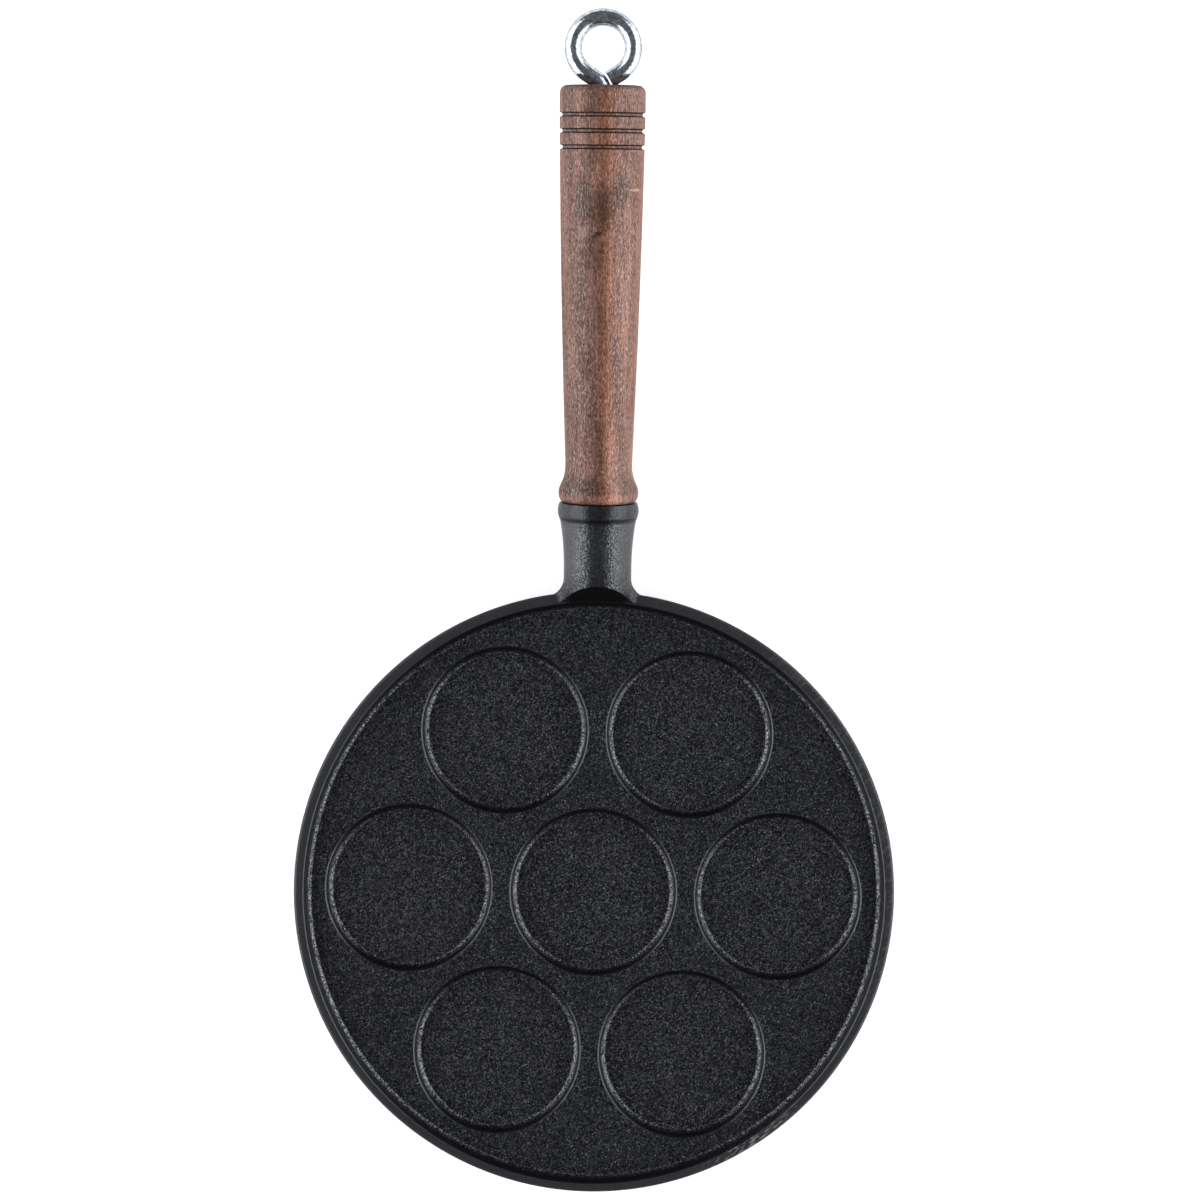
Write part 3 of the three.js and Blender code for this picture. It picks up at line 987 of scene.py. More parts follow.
@dataclass
class PanCasting:
    """Pan, rim and neck, cast in one piece."""

    finish: IronFinish
    well_diameter: float = 63.5
    well_depth: float = 5.0
    well_draft: float = 8.0
    well_lip_round: float = 0.8
    well_foot_round: float = 2.4
    well_web: float = 7.5
    well_turn: float = -0.79
    well_shift: tuple[float, float] = (-0.27, -0.7)
    inside_shift: float = -0.45
    ring_wells: int = 6
    base_thickness: float = 5.0
    floor_margin: float = 7.15
    rim_height: float = 6.0
    rim_draft: float = 12.5
    rim_land: float = 4.24
    rim_inner_round: float = 0.7
    rim_outer_round: float = 1.29
    rim_foot_round: float = 2.1
    skirt_draft: float = 18.0
    base_round: float = 6.0
    neck_length: float = 33.8
    neck_diameter: float = 25.9
    neck_shoulder_diameter: float = 29.2
    collar_diameter: float = 31.0
    collar_face_diameter: float = 29.7
    collar_length: float = 6.6
    neck_end_draft: float = 25.0
    neck_wall_round: float = 6.1
    neck_land_round: float = 3.7
    neck_base_gap: float = 0.6
    cup_radius: float = 9.3
    cup_floor: float = 19.8
    hole_radius: float = 3.35
    hole_end: float = 4.8
    flat_margin: float = 0.5
    neck_blend: float = 3.0
    neck_swell: float = 0.2
    neck_steps: int = 14
    buried: tuple[float, ...] = (0.1, 0.25, 0.45, 0.7, 1.0, 1.5)
    corrections: int = 5
    facets: int = 216
    well_facets: int = 96
    neck_facets: int = 96
    outside_sand: float = 0.45
    plate_sand: float = 0.14
    rim_sand: float = 0.22
    neck_sand: float = 0.35
    wall_sand: float = 0.12
    neck_gloss: float = 0.95
    collar_gloss: float = 0.15
    wall_gloss: float = 1.15
    # Strengths of the painted shade on the neck's end face, in the valley before the collar and on walls
    # facing along the handle.
    face_painted_shade: float = 0.85
    valley_painted_shade: float = 0.8
    wall_painted_shade: float = 0.85
    worn_scuff: float = 0.22

    @property
    def floor(self) -> float:
        """Height of the floor between the wells."""
        return self.base_thickness + self.well_depth

    @property
    def rim(self) -> float:
        """Height of the rim."""
        return self.floor + self.rim_height

    @property
    def well_ring(self) -> float:
        """Radius of the ring that the outer wells stand on."""
        return self.well_diameter + self.well_web

    @property
    def rim_foot(self) -> float:
        """Radius where the floor meets the rim."""
        return self.well_ring + self.well_diameter / 2.0 + self.floor_margin

    @property
    def rim_inside(self) -> float:
        """Radius of the rim's inner edge."""
        return self.rim_foot + run(self.rim_height, self.rim_draft)

    @property
    def radius(self) -> float:
        """Radius of the rim's outer edge before it is rounded."""
        return self.rim_inside + self.rim_land

    @property
    def shoulder(self) -> float:
        """Distance of the collar's start from the rim's outer edge, along the neck."""
        return self.neck_length - self.collar_length

    def line(self) -> HandleLine:
        """Axis of the neck and of all that is screwed to it."""
        return HandleLine(self.radius)

    @cached_property
    def to_neck(self) -> Matrix:
        """Turns a place into the frame of the neck's axis."""
        return self.line().matrix().inverted()

    @cached_property
    def well_centres(self) -> list[Vector]:
        """Middles of the wells, which the mould sets a little askew of the handle.

        Returns:
            The middle well first, then the ring of wells.
        """
        middle = Vector((*self.well_shift, 0.0))
        step = 360.0 / self.ring_wells
        ring = []
        for index in range(self.ring_wells):
            turn = Matrix.Rotation(math.radians(self.well_turn + step * index), 3, "Z")
            ring.append(middle + turn @ (X_AXIS * self.well_ring))
        return [middle, *ring]

    def add_shell(self, mesh: BMesh) -> None:
        """Turns the base, the skirt and the rim, and leaves the floor open.

        Args:
            mesh: Mesh in the making.
        """
        base = self.radius - run(self.rim, self.skirt_draft)
        lathe = Lathe(mesh, Z_AXIS, self.facets)
        lathe.outline(
            [
                Corner(0.0, 0.0),
                Corner(base - self.base_round, 0.0),
                Corner(base, 0.0, self.base_round),
                Corner(self.radius, self.rim, self.rim_outer_round),
                Corner(self.rim_inside, self.rim, self.rim_inner_round),
                Corner(self.rim_foot, self.floor, self.rim_foot_round),
                Corner(self.rim_foot - self.rim_foot_round - self.flat_margin, self.floor),
            ]
        )
        lathe.turn()
        within = self.rim_inside + self.rim_land / 2.0
        inner = [v for v in mesh.verts if v.co.z > self.floor - 0.01 and v.co.xy.length < within]
        bmesh.ops.translate(mesh, vec=Y_AXIS * self.inside_shift, verts=inner)

    def add_well(self, mesh: BMesh, middle: Vector) -> None:
        """Turns one well with a narrow flat edge round it.

        Args:
            mesh: Mesh in the making.
            middle: Axis of the well.
        """
        lip = self.well_diameter / 2.0
        foot = lip - run(self.well_depth, self.well_draft)
        lathe = Lathe(mesh, Z_AXIS, self.well_facets, middle)
        lathe.outline(
            [
                Corner(lip + self.well_lip_round + self.flat_margin, self.floor),
                Corner(lip, self.floor, self.well_lip_round),
                Corner(foot, self.base_thickness, self.well_foot_round),
                Corner(foot - self.well_foot_round - self.flat_margin, self.base_thickness),
                Corner(0.0, self.base_thickness),
            ]
        )
        lathe.turn()

    def pan(self) -> Object:
        """Builds the pan without its neck.

        Returns:
            The closed solid.
        """
        mesh = bmesh.new()
        self.add_shell(mesh)
        for centre in self.well_centres:
            self.add_well(mesh, centre)
        edges = [edge for edge in mesh.edges if edge.is_boundary]
        bmesh.ops.triangle_fill(mesh, edges=edges, use_beauty=True, normal=Z_AXIS)
        return solid(mesh, "pan_iron")

    def root_flare(self, from_wall: float, height: float) -> float:
        """How far the neck's flank swings out where it runs into the rim.

        Args:
            from_wall: Distance from the outside of the rim.
            height: Height above the hob.

        Returns:
            The extra half width.
        """
        sink = self.rim_outer_round / 2.0
        over = min(1.0, max(0.0, -from_wall / self.rim_land))
        out = max(0.0, from_wall) / self.neck_wall_round
        up = max(0.0, height - self.rim + sink) / self.neck_land_round
        left = 1.0 - min(1.0, math.hypot(out, up))
        reach = between(self.neck_wall_round, self.neck_land_round, over)
        return reach * (1.0 - math.sqrt(1.0 - left * left))

    def root_point(self, spoke: float, from_wall: float) -> Vector:
        """Point of the neck's skin near the rim.

        Args:
            spoke: Angle round the neck's axis.
            from_wall: Distance from the outside of the rim.

        Returns:
            The place of the point.
        """
        matrix = self.line().matrix()
        radius = self.neck_diameter / 2.0
        local = Vector((radius * math.cos(spoke), from_wall, radius * math.sin(spoke)))
        for _ in range(self.corrections):
            place = matrix @ local
            lean = run(max(0.0, self.rim - place.z), self.skirt_draft)
            wall = self.radius - self.rim_outer_round / 2.0 - lean
            place.x *= 1.0 + self.root_flare(from_wall, place.z) / radius
            wanted = math.sqrt((wall + from_wall) ** 2 - place.x**2)
            local.y += (wanted - place.y) / math.cos(math.radians(self.line().tilt))
            place.y = wanted
        return place

    def neck_outline(self) -> list[Corner]:
        """Outline of the neck from its waist over the collar, down into the cup and along the hole.

        Returns:
            The corners.
        """
        start = self.neck_wall_round + self.neck_blend
        bulge = self.collar_diameter - (self.neck_shoulder_diameter + self.collar_face_diameter) / 4.0
        waist = [
            Corner(self.neck_diameter / 2.0, start),
            Corner(self.neck_diameter / 2.0 + self.neck_swell, between(start, self.shoulder, 0.6)),
            Corner(self.neck_shoulder_diameter / 2.0, self.shoulder),
        ]
        waist = curve(waist, self.neck_steps)
        bead = [
            waist[-1],
            Corner(bulge, self.neck_length - self.collar_length / 2.0),
            Corner(self.collar_face_diameter / 2.0, self.neck_length),
        ]
        return [
            *waist,
            *curve(bead, self.neck_steps)[1:],
            Corner(self.cup_radius, self.neck_length),
            Corner(self.cup_radius, self.cup_floor),
            Corner(self.hole_radius, self.cup_floor),
            Corner(self.hole_radius, self.hole_end),
            Corner(0.0, self.hole_end),
        ]

    def add_root(self, mesh: BMesh) -> None:
        """Brings the turned neck to its place and grows its root into the rim.

        Args:
            mesh: Mesh of the neck, open where the root begins.
        """
        ring = [edge for edge in mesh.edges if edge.is_boundary]
        spoke = mesh.verts.layers.float.new("spoke")
        for vert in ends_of(ring):
            vert[spoke] = math.atan2(vert.co.z, vert.co.x)
        bmesh.ops.transform(mesh, matrix=self.line().matrix(), verts=mesh.verts)
        steps = self.neck_steps
        rising = [self.neck_wall_round * (1.0 - step / steps) ** 2 for step in range(steps + 1)]
        for from_wall in [*rising, *(-self.rim_land * share for share in self.buried)]:
            made = bmesh.ops.extrude_edge_only(mesh, edges=ring)["geom"]
            for vert in made:
                if isinstance(vert, BMVert):
                    vert.co = self.root_point(vert[spoke], from_wall)
            ring = [edge for edge in made if isinstance(edge, BMEdge) and edge.is_boundary]
        bmesh.ops.edgeloop_fill(mesh, edges=ring)
        mesh.verts.layers.float.remove(spoke)

    def neck(self) -> Object:
        """Builds the neck with its collar, its cup and the hole for the bolt's thread.

        Returns:
            The closed solid, which reaches into the rim.
        """
        mesh = bmesh.new()
        lathe = Lathe(mesh, Y_AXIS, self.neck_facets)
        lathe.outline(self.neck_outline())
        lathe.turn()
        self.add_root(mesh)
        cut = bmesh.ops.bisect_plane(
            mesh,
            geom=[*mesh.verts, *mesh.edges, *mesh.faces],
            plane_co=Z_AXIS * self.neck_base_gap,
            plane_no=Z_AXIS,
            clear_inner=True,
        )
        if any(edge.is_boundary for edge in mesh.edges):
            edges = [edge for edge in cut["geom_cut"] if isinstance(edge, BMEdge)]
            bmesh.ops.edgeloop_fill(mesh, edges=edges)
        return solid(mesh, "neck")

    def inside(self) -> Object:
        """Builds the space inside the rim, which leans back above it to face off the neck's end.

        Returns:
            The closed solid.
        """
        mesh = bmesh.new()
        hidden = self.rim_land / 3.0
        top = self.rim + self.neck_diameter
        edge = self.rim_inside + self.rim_inner_round
        lathe = Lathe(mesh, Z_AXIS, self.facets, Y_AXIS * self.inside_shift)
        lathe.outline(
            [
                Corner(0.0, self.floor - hidden),
                Corner(self.rim_foot + hidden, self.floor - hidden),
                Corner(edge, self.rim - hidden),
                Corner(edge, self.rim),
                Corner(edge + run(top - self.rim, self.neck_end_draft), top),
                Corner(0.0, top),
            ]
        )
        lathe.turn()
        return solid(mesh, "inside")

    def across(self, place: Vector) -> float:
        """Distance of a place from the axis of the pan's inside."""
        return math.hypot(place.x, place.y - self.inside_shift)

    def along(self, place: Vector) -> float:
        """Distance of a place from the rim's outer edge, along the neck."""
        return (self.to_neck @ place).y

    def within(self, place: Vector) -> float:
        """How much a place lies inside the rim: full on the floor and the walls, none on the rim's top."""
        return ease(self.rim_inside + 0.4, self.rim_inside + 0.1, self.across(place))

    def neck_share(self, place: Vector) -> float:
        """How much a place belongs to the neck: none on the rim, full a little way out."""
        return ease(2.0, 8.0, self.along(place)) * ease(self.radius - 4.0, self.radius, place.y)

    def foot(self, place: Vector, level: float) -> float:
        """How near a place is to the rounded foot of a wall that stands on a floor of a given height."""
        return ease(level + 0.02, level + 0.3, place.z) * ease(level + 3.0, level + 1.8, place.z)

    def wall(self, place: Vector, rise: float = 1.3, blend: float = 0.8) -> float:
        """How much a place belongs to a steep wall or its lip, in a well or inside the rim.

        Args:
            place: Place on the casting.
            rise: Height above the floor from which the wall counts.
            blend: Height over which it comes to count in full.

        Returns:
            1 on a wall and 0 elsewhere.
        """
        well = ease(self.base_thickness + rise, self.base_thickness + rise + blend, place.z)
        well *= ease(self.floor - 0.005, self.floor - 0.06, place.z)
        rim = ease(self.floor + rise, self.floor + rise + blend, place.z)
        return self.within(place) * max(well, rim)

    def facing(self, place: Vector) -> float:
        """How much the wall of a well or of the rim faces along the handle.

        Args:
            place: Place on the wall.

        Returns:
            1 on the walls nearest to and farthest from the handle, and 0 on those beside them.
        """
        flat = Vector((place.x, place.y, 0.0))
        nearest = min(self.well_centres, key=lambda centre: (flat - centre).length)
        sunk = place.z < self.floor
        out = flat - nearest if sunk else flat
        return ease(0.14 if sunk else 0.45, 0.93, abs(out.y) / max(out.length, 1.0))

    def ground(self, place: Vector) -> float:
        """How much a place was ground.

        Args:
            place: Place on the casting.

        Returns:
            1 on the rim's top and at its height on the neck, and 0 inside the pan, above it and well below.
        """
        land = ease(self.rim_inside - 0.4, self.rim_inside + 0.1, self.across(place))
        land *= ease(self.rim - 2.5, self.rim - 0.5, place.z)
        return land * ease(self.rim + 0.6, self.rim + 0.1, place.z)

    def gloss(self, place: Vector) -> float:
        """How much a place is polished.

        Args:
            place: Place on the casting.

        Returns:
            About 1 on the neck and the walls inside the pan, little on the collar, and 0 elsewhere.
        """
        collar = ease(self.shoulder - 0.5, self.shoulder + 1.0, self.along(place))
        neck = self.neck_share(place) * between(self.neck_gloss, self.collar_gloss, collar)
        return max(neck, self.wall_gloss * self.wall(place))

    def sand(self, place: Vector) -> float:
        """How sandy a place is.

        Args:
            place: Place on the casting.

        Returns:
            1 in the wells, less between them and outside, and little on the rim's top, walls and neck.
        """
        outside = self.outside_sand * ease(self.rim_inside, self.radius - 0.5, self.across(place))
        plate = ease(self.floor - 0.06, self.floor - 0.005, place.z)
        plate *= ease(self.floor + 0.3, self.floor + 0.02, place.z)
        rough = between(1.0 - outside - self.plate_sand * plate, self.rim_sand, self.ground(place))
        rough = between(rough, self.neck_sand, self.neck_share(place))
        return between(rough, self.wall_sand, self.wall(place))

    def pebble(self, place: Vector) -> float:
        """How pebbled a place is.

        Args:
            place: Place on the casting.

        Returns:
            1 on the neck up to its collar, less along its crest, 1 at the feet of the walls inside the pan,
            and 0 elsewhere.
        """
        local = self.to_neck @ place
        neck = ease(-1.0, 4.0, local.y) * ease(self.shoulder + 1.2, self.shoulder - 0.6, local.y)
        neck *= 1.0 - 0.6 * ease(5.0, 1.5, abs(local.x)) * ease(0.0, 3.0, local.z)
        feet = max(self.foot(place, self.base_thickness), self.foot(place, self.floor))
        return max(neck, self.within(place) * feet)

    def painted_shade(self, place: Vector) -> float:
        """How much shade is painted onto a place.

        Args:
            place: Place on the casting.

        Returns:
            Near 1 on the neck's end face, below it, before the collar and on walls facing along the handle,
            where the shade is painted.
        """
        across = self.across(place)
        along = self.along(place)
        end = self.rim_inside + self.rim_inner_round + run(place.z - self.rim, self.neck_end_draft)
        face = ease(0.2, 0.05, abs(across - end)) * ease(self.rim - 0.05, self.rim + 0.05, place.z)
        mouth = ease(self.neck_diameter / 2.0, self.neck_diameter / 2.0 - 1.5, abs(place.x))
        mouth *= ease(self.rim_inside + 1.4, self.rim_inside + 0.8, across) * ease(0.0, 10.0, place.y)
        mouth *= ease(self.floor + 1.5, self.floor + 2.5, place.z)
        valley = self.valley_painted_shade * ease(1.5, 0.3, abs(along - self.shoulder - 0.6)) * ease(5.0, 10.0, along)
        wall = self.wall_painted_shade * self.wall(place, 0.03, 0.45) * self.facing(place)
        # Painted shade where the lamps at the sides leave a place dark: the end face, the lip under the neck,
        # the collar's valley and walls facing along the handle.
        return max(self.face_painted_shade * face, mouth, valley, wall)

    def scuff(self, place: Vector) -> float:
        """How scuffed a place is.

        Args:
            place: Place on the casting.

        Returns:
            1 on one stretch of the rim's top, a little on the next, and 0 elsewhere.
        """
        angle = math.degrees(math.atan2(place.y, place.x))
        worn = self.worn_scuff * ease(-40.0, -10.0, angle) * ease(75.0, 40.0, angle)
        return self.ground(place) * max(worn, ease(-71.0, -62.0, angle) * ease(-43.0, -52.0, angle))

    def build(self) -> Object:
        """Builds and dresses the whole casting.

        Returns:
            The finished piece.
        """
        neck = self.neck()
        combine(neck, self.inside(), Joining.CUT)
        piece = self.pan()
        combine(piece, neck, Joining.ADD)
        # Each measure is stored under its own name; one of them holds the painted shade.
        for measure in (self.sand, self.pebble, self.ground, self.gloss, self.painted_shade, self.scuff):
            mark(piece, measure.__name__, measure)
        settle(piece, self.finish.material())
        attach(piece, "pan")
        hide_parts("pan_casting")
        return piece


@dataclass
class WoodenHandle:
    """Turned handle with a bead at the front, three grooves at the rear and a bore right through."""

    line: HandleLine
    finish: WoodFinish
    front: float = 34.1
    length: float = 157.0
    face_diameter: float = 27.6
    bead_diameter: float = 30.5
    bead_at: float = 3.5
    waist_diameter: float = 25.5
    waist_at: float = 14.6
    rear_diameter: float = 32.36
    rear_length: float = 10.0
    rear_round: float = 2.9
    swell: float = 0.75
    grooves: int = 3
    groove_width: float = 1.7
    groove_depth: float = 1.0
    groove_pitch: float = 6.0
    groove_from_end: float = 11.0
    spigot_diameter: float = 18.0
    spigot_length: float = 14.0
    mouth_diameter: float = 12.6
    mouth_depth: float = 5.0
    bore_radius: float = 3.35
    spigot_round: float = 1.0
    mouth_round: float = 0.4
    groove_foot: float = 0.62
    groove_margin: float = 0.6
    groove_lip_round: float = 0.22
    groove_foot_round: float = 0.3
    taper_steps: int = 24
    facets: int = 112

    def taper(self, along: float) -> float:
        """Radius of the long taper.

        Args:
            along: Distance from the front face.

        Returns:
            The radius there.
        """
        end = self.length - self.rear_length
        share = min(1.0, (along - self.waist_at) / (end - self.waist_at))
        grown = 2.0 * share * (1.0 - share) * self.swell + share * share
        return between(self.waist_diameter, self.rear_diameter, grown) / 2.0

    def groove_places(self) -> list[float]:
        """Distances of the grooves from the front face, front to rear."""
        last = self.length - self.groove_from_end
        return [last - self.groove_pitch * index for index in reversed(range(self.grooves))]

    def outline(self) -> list[Corner]:
        """Outline of the wood from the bore round the outside and back to the bore.

        Returns:
            The corners, the first and the last at the same place.
        """
        bead = self.bead_diameter / 2.0
        waist = self.waist_diameter / 2.0
        nose = [
            Corner(self.face_diameter / 2.0, 0.0),
            Corner(bead, self.bead_at * 0.3),
            Corner(bead, self.bead_at),
        ]
        hollow = [
            Corner(bead, self.bead_at),
            Corner(bead, between(self.bead_at, self.waist_at, 0.32)),
            Corner(waist, between(self.bead_at, self.waist_at, 0.36)),
            Corner(waist, self.waist_at),
        ]
        corners = [
            Corner(self.bore_radius, -self.spigot_length),
            Corner(self.spigot_diameter / 2.0, -self.spigot_length, self.spigot_round),
            Corner(self.spigot_diameter / 2.0, 0.0),
            *curve(nose, 10),
            *curve(hollow, 20)[1:],
        ]
        places = self.groove_places()
        half = self.groove_width / 2.0
        foot = half * self.groove_foot
        end = places[0] - half - 0.8
        for step in range(1, self.taper_steps):
            along = between(self.waist_at, end, step / self.taper_steps)
            corners.append(Corner(self.taper(along), along))
        for place in places:
            for along, share, rounding in (
                (place - half - self.groove_margin, 0.0, 0.0),
                (place - half, 0.0, self.groove_lip_round),
                (place - foot, 1.0, self.groove_foot_round),
                (place + foot, 1.0, self.groove_foot_round),
                (place + half, 0.0, self.groove_lip_round),
                (place + half + self.groove_margin, 0.0, 0.0),
            ):
                corners.append(Corner(self.taper(along) - share * self.groove_depth, along, rounding))
        rear = self.rear_diameter / 2.0
        corners += [
            Corner(rear, self.length - self.rear_round - 1.0),
            Corner(rear, self.length, self.rear_round),
            Corner(self.mouth_diameter / 2.0, self.length, self.mouth_round),
            Corner(self.bore_radius, self.length - self.mouth_depth),
            Corner(self.bore_radius, -self.spigot_length),
        ]
        return corners

    def burn(self, place: Vector) -> float:
        """How dark the wood is where its ends were turned.

        Args:
            place: Place on the handle.

        Returns:
            Near 1 at the rear edge and in the bore, less on the end faces and the spigot, and 0 elsewhere.
        """
        local = self.line.matrix().inverted() @ place
        along = local.y - self.front
        radius = math.hypot(local.x, local.z)
        rear = self.rear_diameter / 2.0
        edge = ease(self.length - 1.5, self.length - 0.4, along)
        edge *= between(0.3, 1.0, ease(rear - 5.0, rear - 3.0, radius))
        bore = ease(self.mouth_diameter / 2.0 + 0.5, self.bore_radius, radius)
        return max(edge, 0.8 * bore, 0.7 * ease(0.4, 0.0, along))

    def build(self) -> Object:
        """Builds and dresses the handle.

        Returns:
            The finished piece.
        """
        mesh = bmesh.new()
        lathe = Lathe(mesh, Y_AXIS, self.facets)
        lathe.outline(self.outline(), 12.0)
        lathe.turn()
        place = self.line.matrix() @ Matrix.Translation((0.0, self.front, 0.0))
        bmesh.ops.transform(mesh, matrix=place, verts=mesh.verts)
        piece = solid(mesh, "handle_wood")
        mark(piece, "burn", self.burn)
        settle(piece, self.finish.material(self), 40.0)
        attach(piece, "handle")
        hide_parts("wooden_handle")
        return piece


@dataclass
class EyeBolt:
    """Steel rod bent into an eye at the rear and threaded at the front."""

    line: HandleLine
    finish: SteelFinish
    rod_diameter: float = 6.5
    thread_diameter: float = 5.97
    tip: float = 7.8
    tip_chamfer: float = 0.8
    thread_length: float = 13.0
    thread_pitch: float = 1.0
    thread_height: float = 0.22
    run_out: float = 1.0
    eye_radius: float = 11.25
    eye_centre: float = 205.0
    bend_radius: float = 6.0
    bend_angle: float = 58.0
    slit: float = 0.5
    end_round: float = 0.4
    thread_lead: float = 0.3
    thread_sink: float = 0.2
    ridge_width: float = 0.8
    thread_facets: int = 32
    facets: int = 40
    bend_steps: int = 12
    eye_steps: int = 80

    def pushed(self, mesh: BMesh, ring: list[BMEdge], step: Vector) -> list[BMEdge]:
        """Carries the rod on in a straight line.

        Args:
            mesh: Mesh in the making.
            ring: Edges round the rod's open end.
            step: How far it goes.

        Returns:
            The edges round the new open end.
        """
        made = bmesh.ops.extrude_edge_only(mesh, edges=ring)["geom"]
        bmesh.ops.translate(mesh, vec=step, verts=[v for v in made if isinstance(v, BMVert)])
        return [edge for edge in made if isinstance(edge, BMEdge) and edge.is_boundary]

    def scaled(self, mesh: BMesh, ring: list[BMEdge], factor: float, centre: Vector) -> list[BMEdge]:
        """Widens or narrows the rod's open end.

        Args:
            mesh: Mesh in the making.
            ring: Edges round the rod's open end.
            factor: Change of its size.
            centre: Middle of the end.

        Returns:
            The same edges.
        """
        verts = ends_of(ring)
        bmesh.ops.scale(mesh, vec=(factor, factor, factor), space=Matrix.Translation(-centre), verts=verts)
        return ring

    def bent(
        self, mesh: BMesh, ring: list[BMEdge], centre: Vector, degrees: float, steps: int
    ) -> list[BMEdge]:
        """Carries the rod on round a bend.

        Args:
            mesh: Mesh in the making.
            ring: Edges round the rod's open end.
            centre: Middle of the bend.
            degrees: Angle of the bend, positive to the left.
            steps: Facets along it.

        Returns:
            The edges round the new open end.
        """
        last = bmesh.ops.spin(
            mesh,
            geom=[*ring, *ends_of(ring)],
            cent=centre,
            axis=Z_AXIS,
            angle=math.radians(degrees),
            steps=steps,
        )["geom_last"]
        return [edge for edge in last if isinstance(edge, BMEdge)]

    def add_rod(self, mesh: BMesh) -> None:
        """Makes the rod from its tip round the drop-shaped eye to its free end beside the bend.

        Args:
            mesh: Mesh in the making.
        """
        radius = self.rod_diameter / 2.0
        bend = math.radians(self.bend_angle)
        corner = self.eye_centre - self.eye_radius / math.sin(bend)
        bend_start = corner - self.bend_radius * math.tan(bend / 2.0)
        upright = Matrix.Translation((0.0, self.tip, 0.0)) @ Matrix.Rotation(-math.pi / 2.0, 4, "X")
        thin = self.thread_diameter / 2.0
        bmesh.ops.create_circle(
            mesh, cap_ends=True, radius=thin - self.tip_chamfer, segments=self.facets, matrix=upright
        )
        reached = self.tip + self.tip_chamfer
        ring = self.pushed(mesh, list(mesh.edges), Y_AXIS * self.tip_chamfer)
        ring = self.scaled(mesh, ring, thin / (thin - self.tip_chamfer), Y_AXIS * reached)
        ring = self.pushed(mesh, ring, Y_AXIS * self.thread_length)
        reached += self.thread_length + self.run_out
        ring = self.pushed(mesh, ring, Y_AXIS * self.run_out)
        ring = self.scaled(mesh, ring, radius / thin, Y_AXIS * reached)
        ring = self.pushed(mesh, ring, Y_AXIS * (bend_start - reached))
        elbow = Vector((-self.bend_radius, bend_start, 0.0))
        ring = self.bent(mesh, ring, elbow, self.bend_angle, self.bend_steps)
        slant = Vector((math.sin(bend), math.cos(bend), 0.0))
        stretch = self.eye_radius / math.tan(bend)
        out = stretch - self.bend_radius * math.tan(bend / 2.0)
        ring = self.pushed(mesh, ring, Vector((-slant.x, slant.y, 0.0)) * out)
        eye = Vector((0.0, self.eye_centre, 0.0))
        ring = self.bent(mesh, ring, eye, -180.0 - 2.0 * self.bend_angle, self.eye_steps)
        reach = self.bend_radius * (slant.x + math.tan(bend / 2.0) * slant.y)
        left = self.bend_radius + radius + self.slit - reach
        ring = self.pushed(mesh, ring, -slant * (stretch - left - self.end_round))
        ring = self.pushed(mesh, ring, -slant * self.end_round)
        end = Y_AXIS * corner + slant * left
        ring = self.scaled(mesh, ring, 1.0 - self.end_round / radius, end)
        bmesh.ops.edgeloop_fill(mesh, edges=ring)

    def add_thread(self, mesh: BMesh) -> None:
        """Winds the ridge of the thread round the front of the rod.

        Args:
            mesh: Mesh in the making.
        """
        radius = self.thread_diameter / 2.0
        start = self.tip + self.tip_chamfer + self.thread_lead
        width = self.thread_pitch * self.ridge_width
        ridge = [
            mesh.verts.new((radius - self.thread_sink, start, 0.0)),
            mesh.verts.new((radius - self.thread_sink, start + width, 0.0)),
            mesh.verts.new((radius + self.thread_height, start + width / 2.0, 0.0)),
        ]
        face = mesh.faces.new(ridge)
        turns = int(self.thread_length / self.thread_pitch) - 1
        last = bmesh.ops.spin(
            mesh,
            geom=[*face.edges, *face.verts],
            cent=(0.0, 0.0, 0.0),
            axis=Y_AXIS,
            dvec=Y_AXIS * (self.thread_pitch / self.thread_facets),
            angle=2.0 * math.pi * turns,
            steps=self.thread_facets * turns,
        )["geom_last"]
        bmesh.ops.edgeloop_fill(mesh, edges=[edge for edge in last if isinstance(edge, BMEdge)])

    def build(self) -> Object:
        """Builds and dresses the bolt.

        Returns:
            The finished piece.
        """
        mesh = bmesh.new()
        self.add_rod(mesh)
        self.add_thread(mesh)
        bmesh.ops.transform(mesh, matrix=self.line.matrix(), verts=mesh.verts)
        piece = solid(mesh, "eye_steel")
        settle(piece, self.finish.material())
        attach(piece, "eye")
        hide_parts("eye_bolt")
        return piece


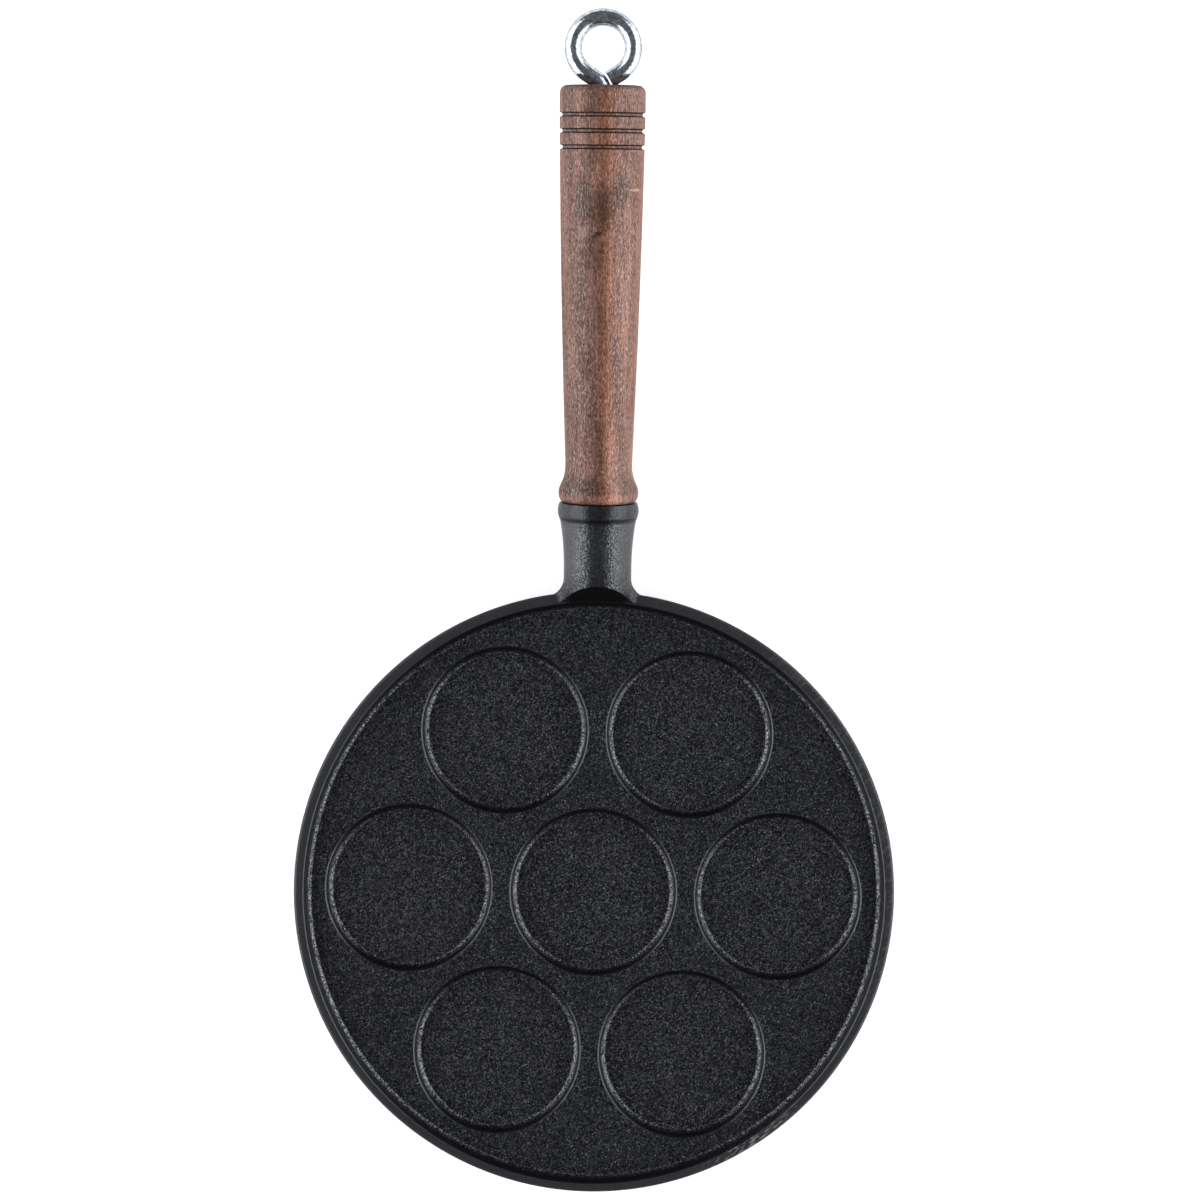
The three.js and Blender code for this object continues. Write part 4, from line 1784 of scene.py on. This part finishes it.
@dataclass
class Studio:
    """Pale floor, two soft boxes and the camera straight above."""

    frame_width: float = 459.3
    camera_height: float = 1190.0
    rim_height: float = 16.0
    centre: tuple[float, float] = (1.07, 111.67)
    roll: float = 0.645
    box_distance: float = 1100.0
    box_angle: float = 61.0
    box_width: float = 890.0
    box_length: float = 1950.0
    box_radiance: float = 2.8
    ceiling: float = 0.14
    horizon: float = 0.3
    ceiling_edge: tuple[float, float] = (0.02, 0.22)
    sensor: float = 36.0
    floor_size: float = 12000.0
    floor_gap: float = 0.05
    floor_pale: Triple = (0.82, 0.82, 0.82)
    floor_dust: Triple = (0.80, 0.80, 0.80)
    dust_size: float = 60.0
    glow_reach: tuple[float, float] = (500.0, 1100.0)
    glow: tuple[float, float] = (0.66, 1.0)

    def camera(self) -> None:
        """Hangs the camera above the pan, looking straight down."""
        data = bpy.data.cameras.new("camera")
        data.sensor_width = self.sensor
        data.lens = data.sensor_width * self.camera_height / self.frame_width
        camera = bpy.data.objects.new("camera", data)
        camera.location = Vector((*self.centre, self.rim_height + self.camera_height)) * METRES
        camera.rotation_euler = (0.0, 0.0, math.radians(self.roll))
        bpy.context.scene.collection.objects.link(camera)
        bpy.context.scene.camera = camera

    def soft_box(self, side: Side) -> None:
        """Hangs one soft box beside the pan.

        Args:
            side: Side that it stands on.
        """
        data = bpy.data.lights.new(f"soft_box_{side.name.lower()}", "AREA")
        data.shape = "RECTANGLE"
        data.size = self.box_width * METRES
        data.size_y = self.box_length * METRES
        data.energy = self.box_radiance * math.pi * data.size * data.size_y
        angle = math.radians(self.box_angle) * side.value
        out = Vector((math.sin(angle), 0.0, math.cos(angle)))
        lamp = bpy.data.objects.new(data.name, data)
        lamp.location = (Vector((*self.centre, 0.0)) + out * self.box_distance) * METRES
        lamp.rotation_euler = (0.0, angle, 0.0)
        lamp.visible_camera = False
        bpy.context.scene.collection.objects.link(lamp)

    def world(self) -> None:
        """Sets a dim ceiling over a pale horizon, with both of them white to the camera."""
        world = bpy.data.worlds.new("studio")
        world.use_nodes = True
        sheet = NodeSheet(world.node_tree)
        direction = sheet.node("TexCoord", {}).outputs["Generated"]
        rise = sheet.node("SeparateXYZ", {"Vector": direction}).outputs["Z"]
        haze = sheet.sum(Sum.LARGER, self.horizon, sheet.rays(Ray.GLOSSY))
        light = sheet.span(rise, *self.ceiling_edge, haze, self.ceiling)
        white = sheet.sum(Sum.LARGER, light, sheet.rays(Ray.CAMERA, Ray.TRANSMISSION))
        sheet.put(sheet.nodes["Background"].inputs["Color"], white)
        bpy.context.scene.world = world

    def floor(self) -> None:
        """Lays the pale floor, which shows white to the camera and keeps the pan's shadow."""
        mesh = bmesh.new()
        bmesh.ops.create_grid(mesh, x_segments=2, y_segments=2, size=self.floor_size)
        floor = solid(mesh, "floor")
        floor.data.transform(Matrix.Translation(-Z_AXIS * self.floor_gap))
        sheet = FinishSheet("pale_floor")
        sheet.feed("Roughness", 0.9)
        sheet.feed("Specular IOR Level", 0.0)
        dust = sheet.noise(sheet.place, self.dust_size, 3.0)
        sheet.feed("Base Color", sheet.mixed(dust, self.floor_dust, self.floor_pale))
        seen = sheet.rays(Ray.CAMERA, Ray.GLOSSY, Ray.TRANSMISSION)
        sheet.feed("Emission Color", (1.0, 1.0, 1.0, 1.0))
        reach = [METRES * distance for distance in self.glow_reach]
        glow = sheet.span(sheet.length(sheet.place), *reach, *self.glow)
        sheet.feed("Emission Strength", sheet.product(seen, glow))
        settle(floor, sheet.material)

    def build(self) -> None:
        """Sets up the whole studio."""
        self.camera()
        for side in Side:
            self.soft_box(side)
        self.world()
        self.floor()
        bpy.context.scene.view_settings.view_transform = "Standard"


def main() -> None:
    """Builds the studio and the three pieces, and logs how many faces each piece has."""
    logging.basicConfig(level=logging.INFO, format="%(name)s: %(message)s")
    Studio().build()
    pan = PanCasting(IronFinish())
    line = pan.line()
    for assembly in (pan, WoodenHandle(line, WoodFinish()), EyeBolt(line, SteelFinish())):
        piece = assembly.build()
        LOG.info("%s: %d faces", piece.name, len(piece.data.polygons))


if __name__ == "__main__":
    main()
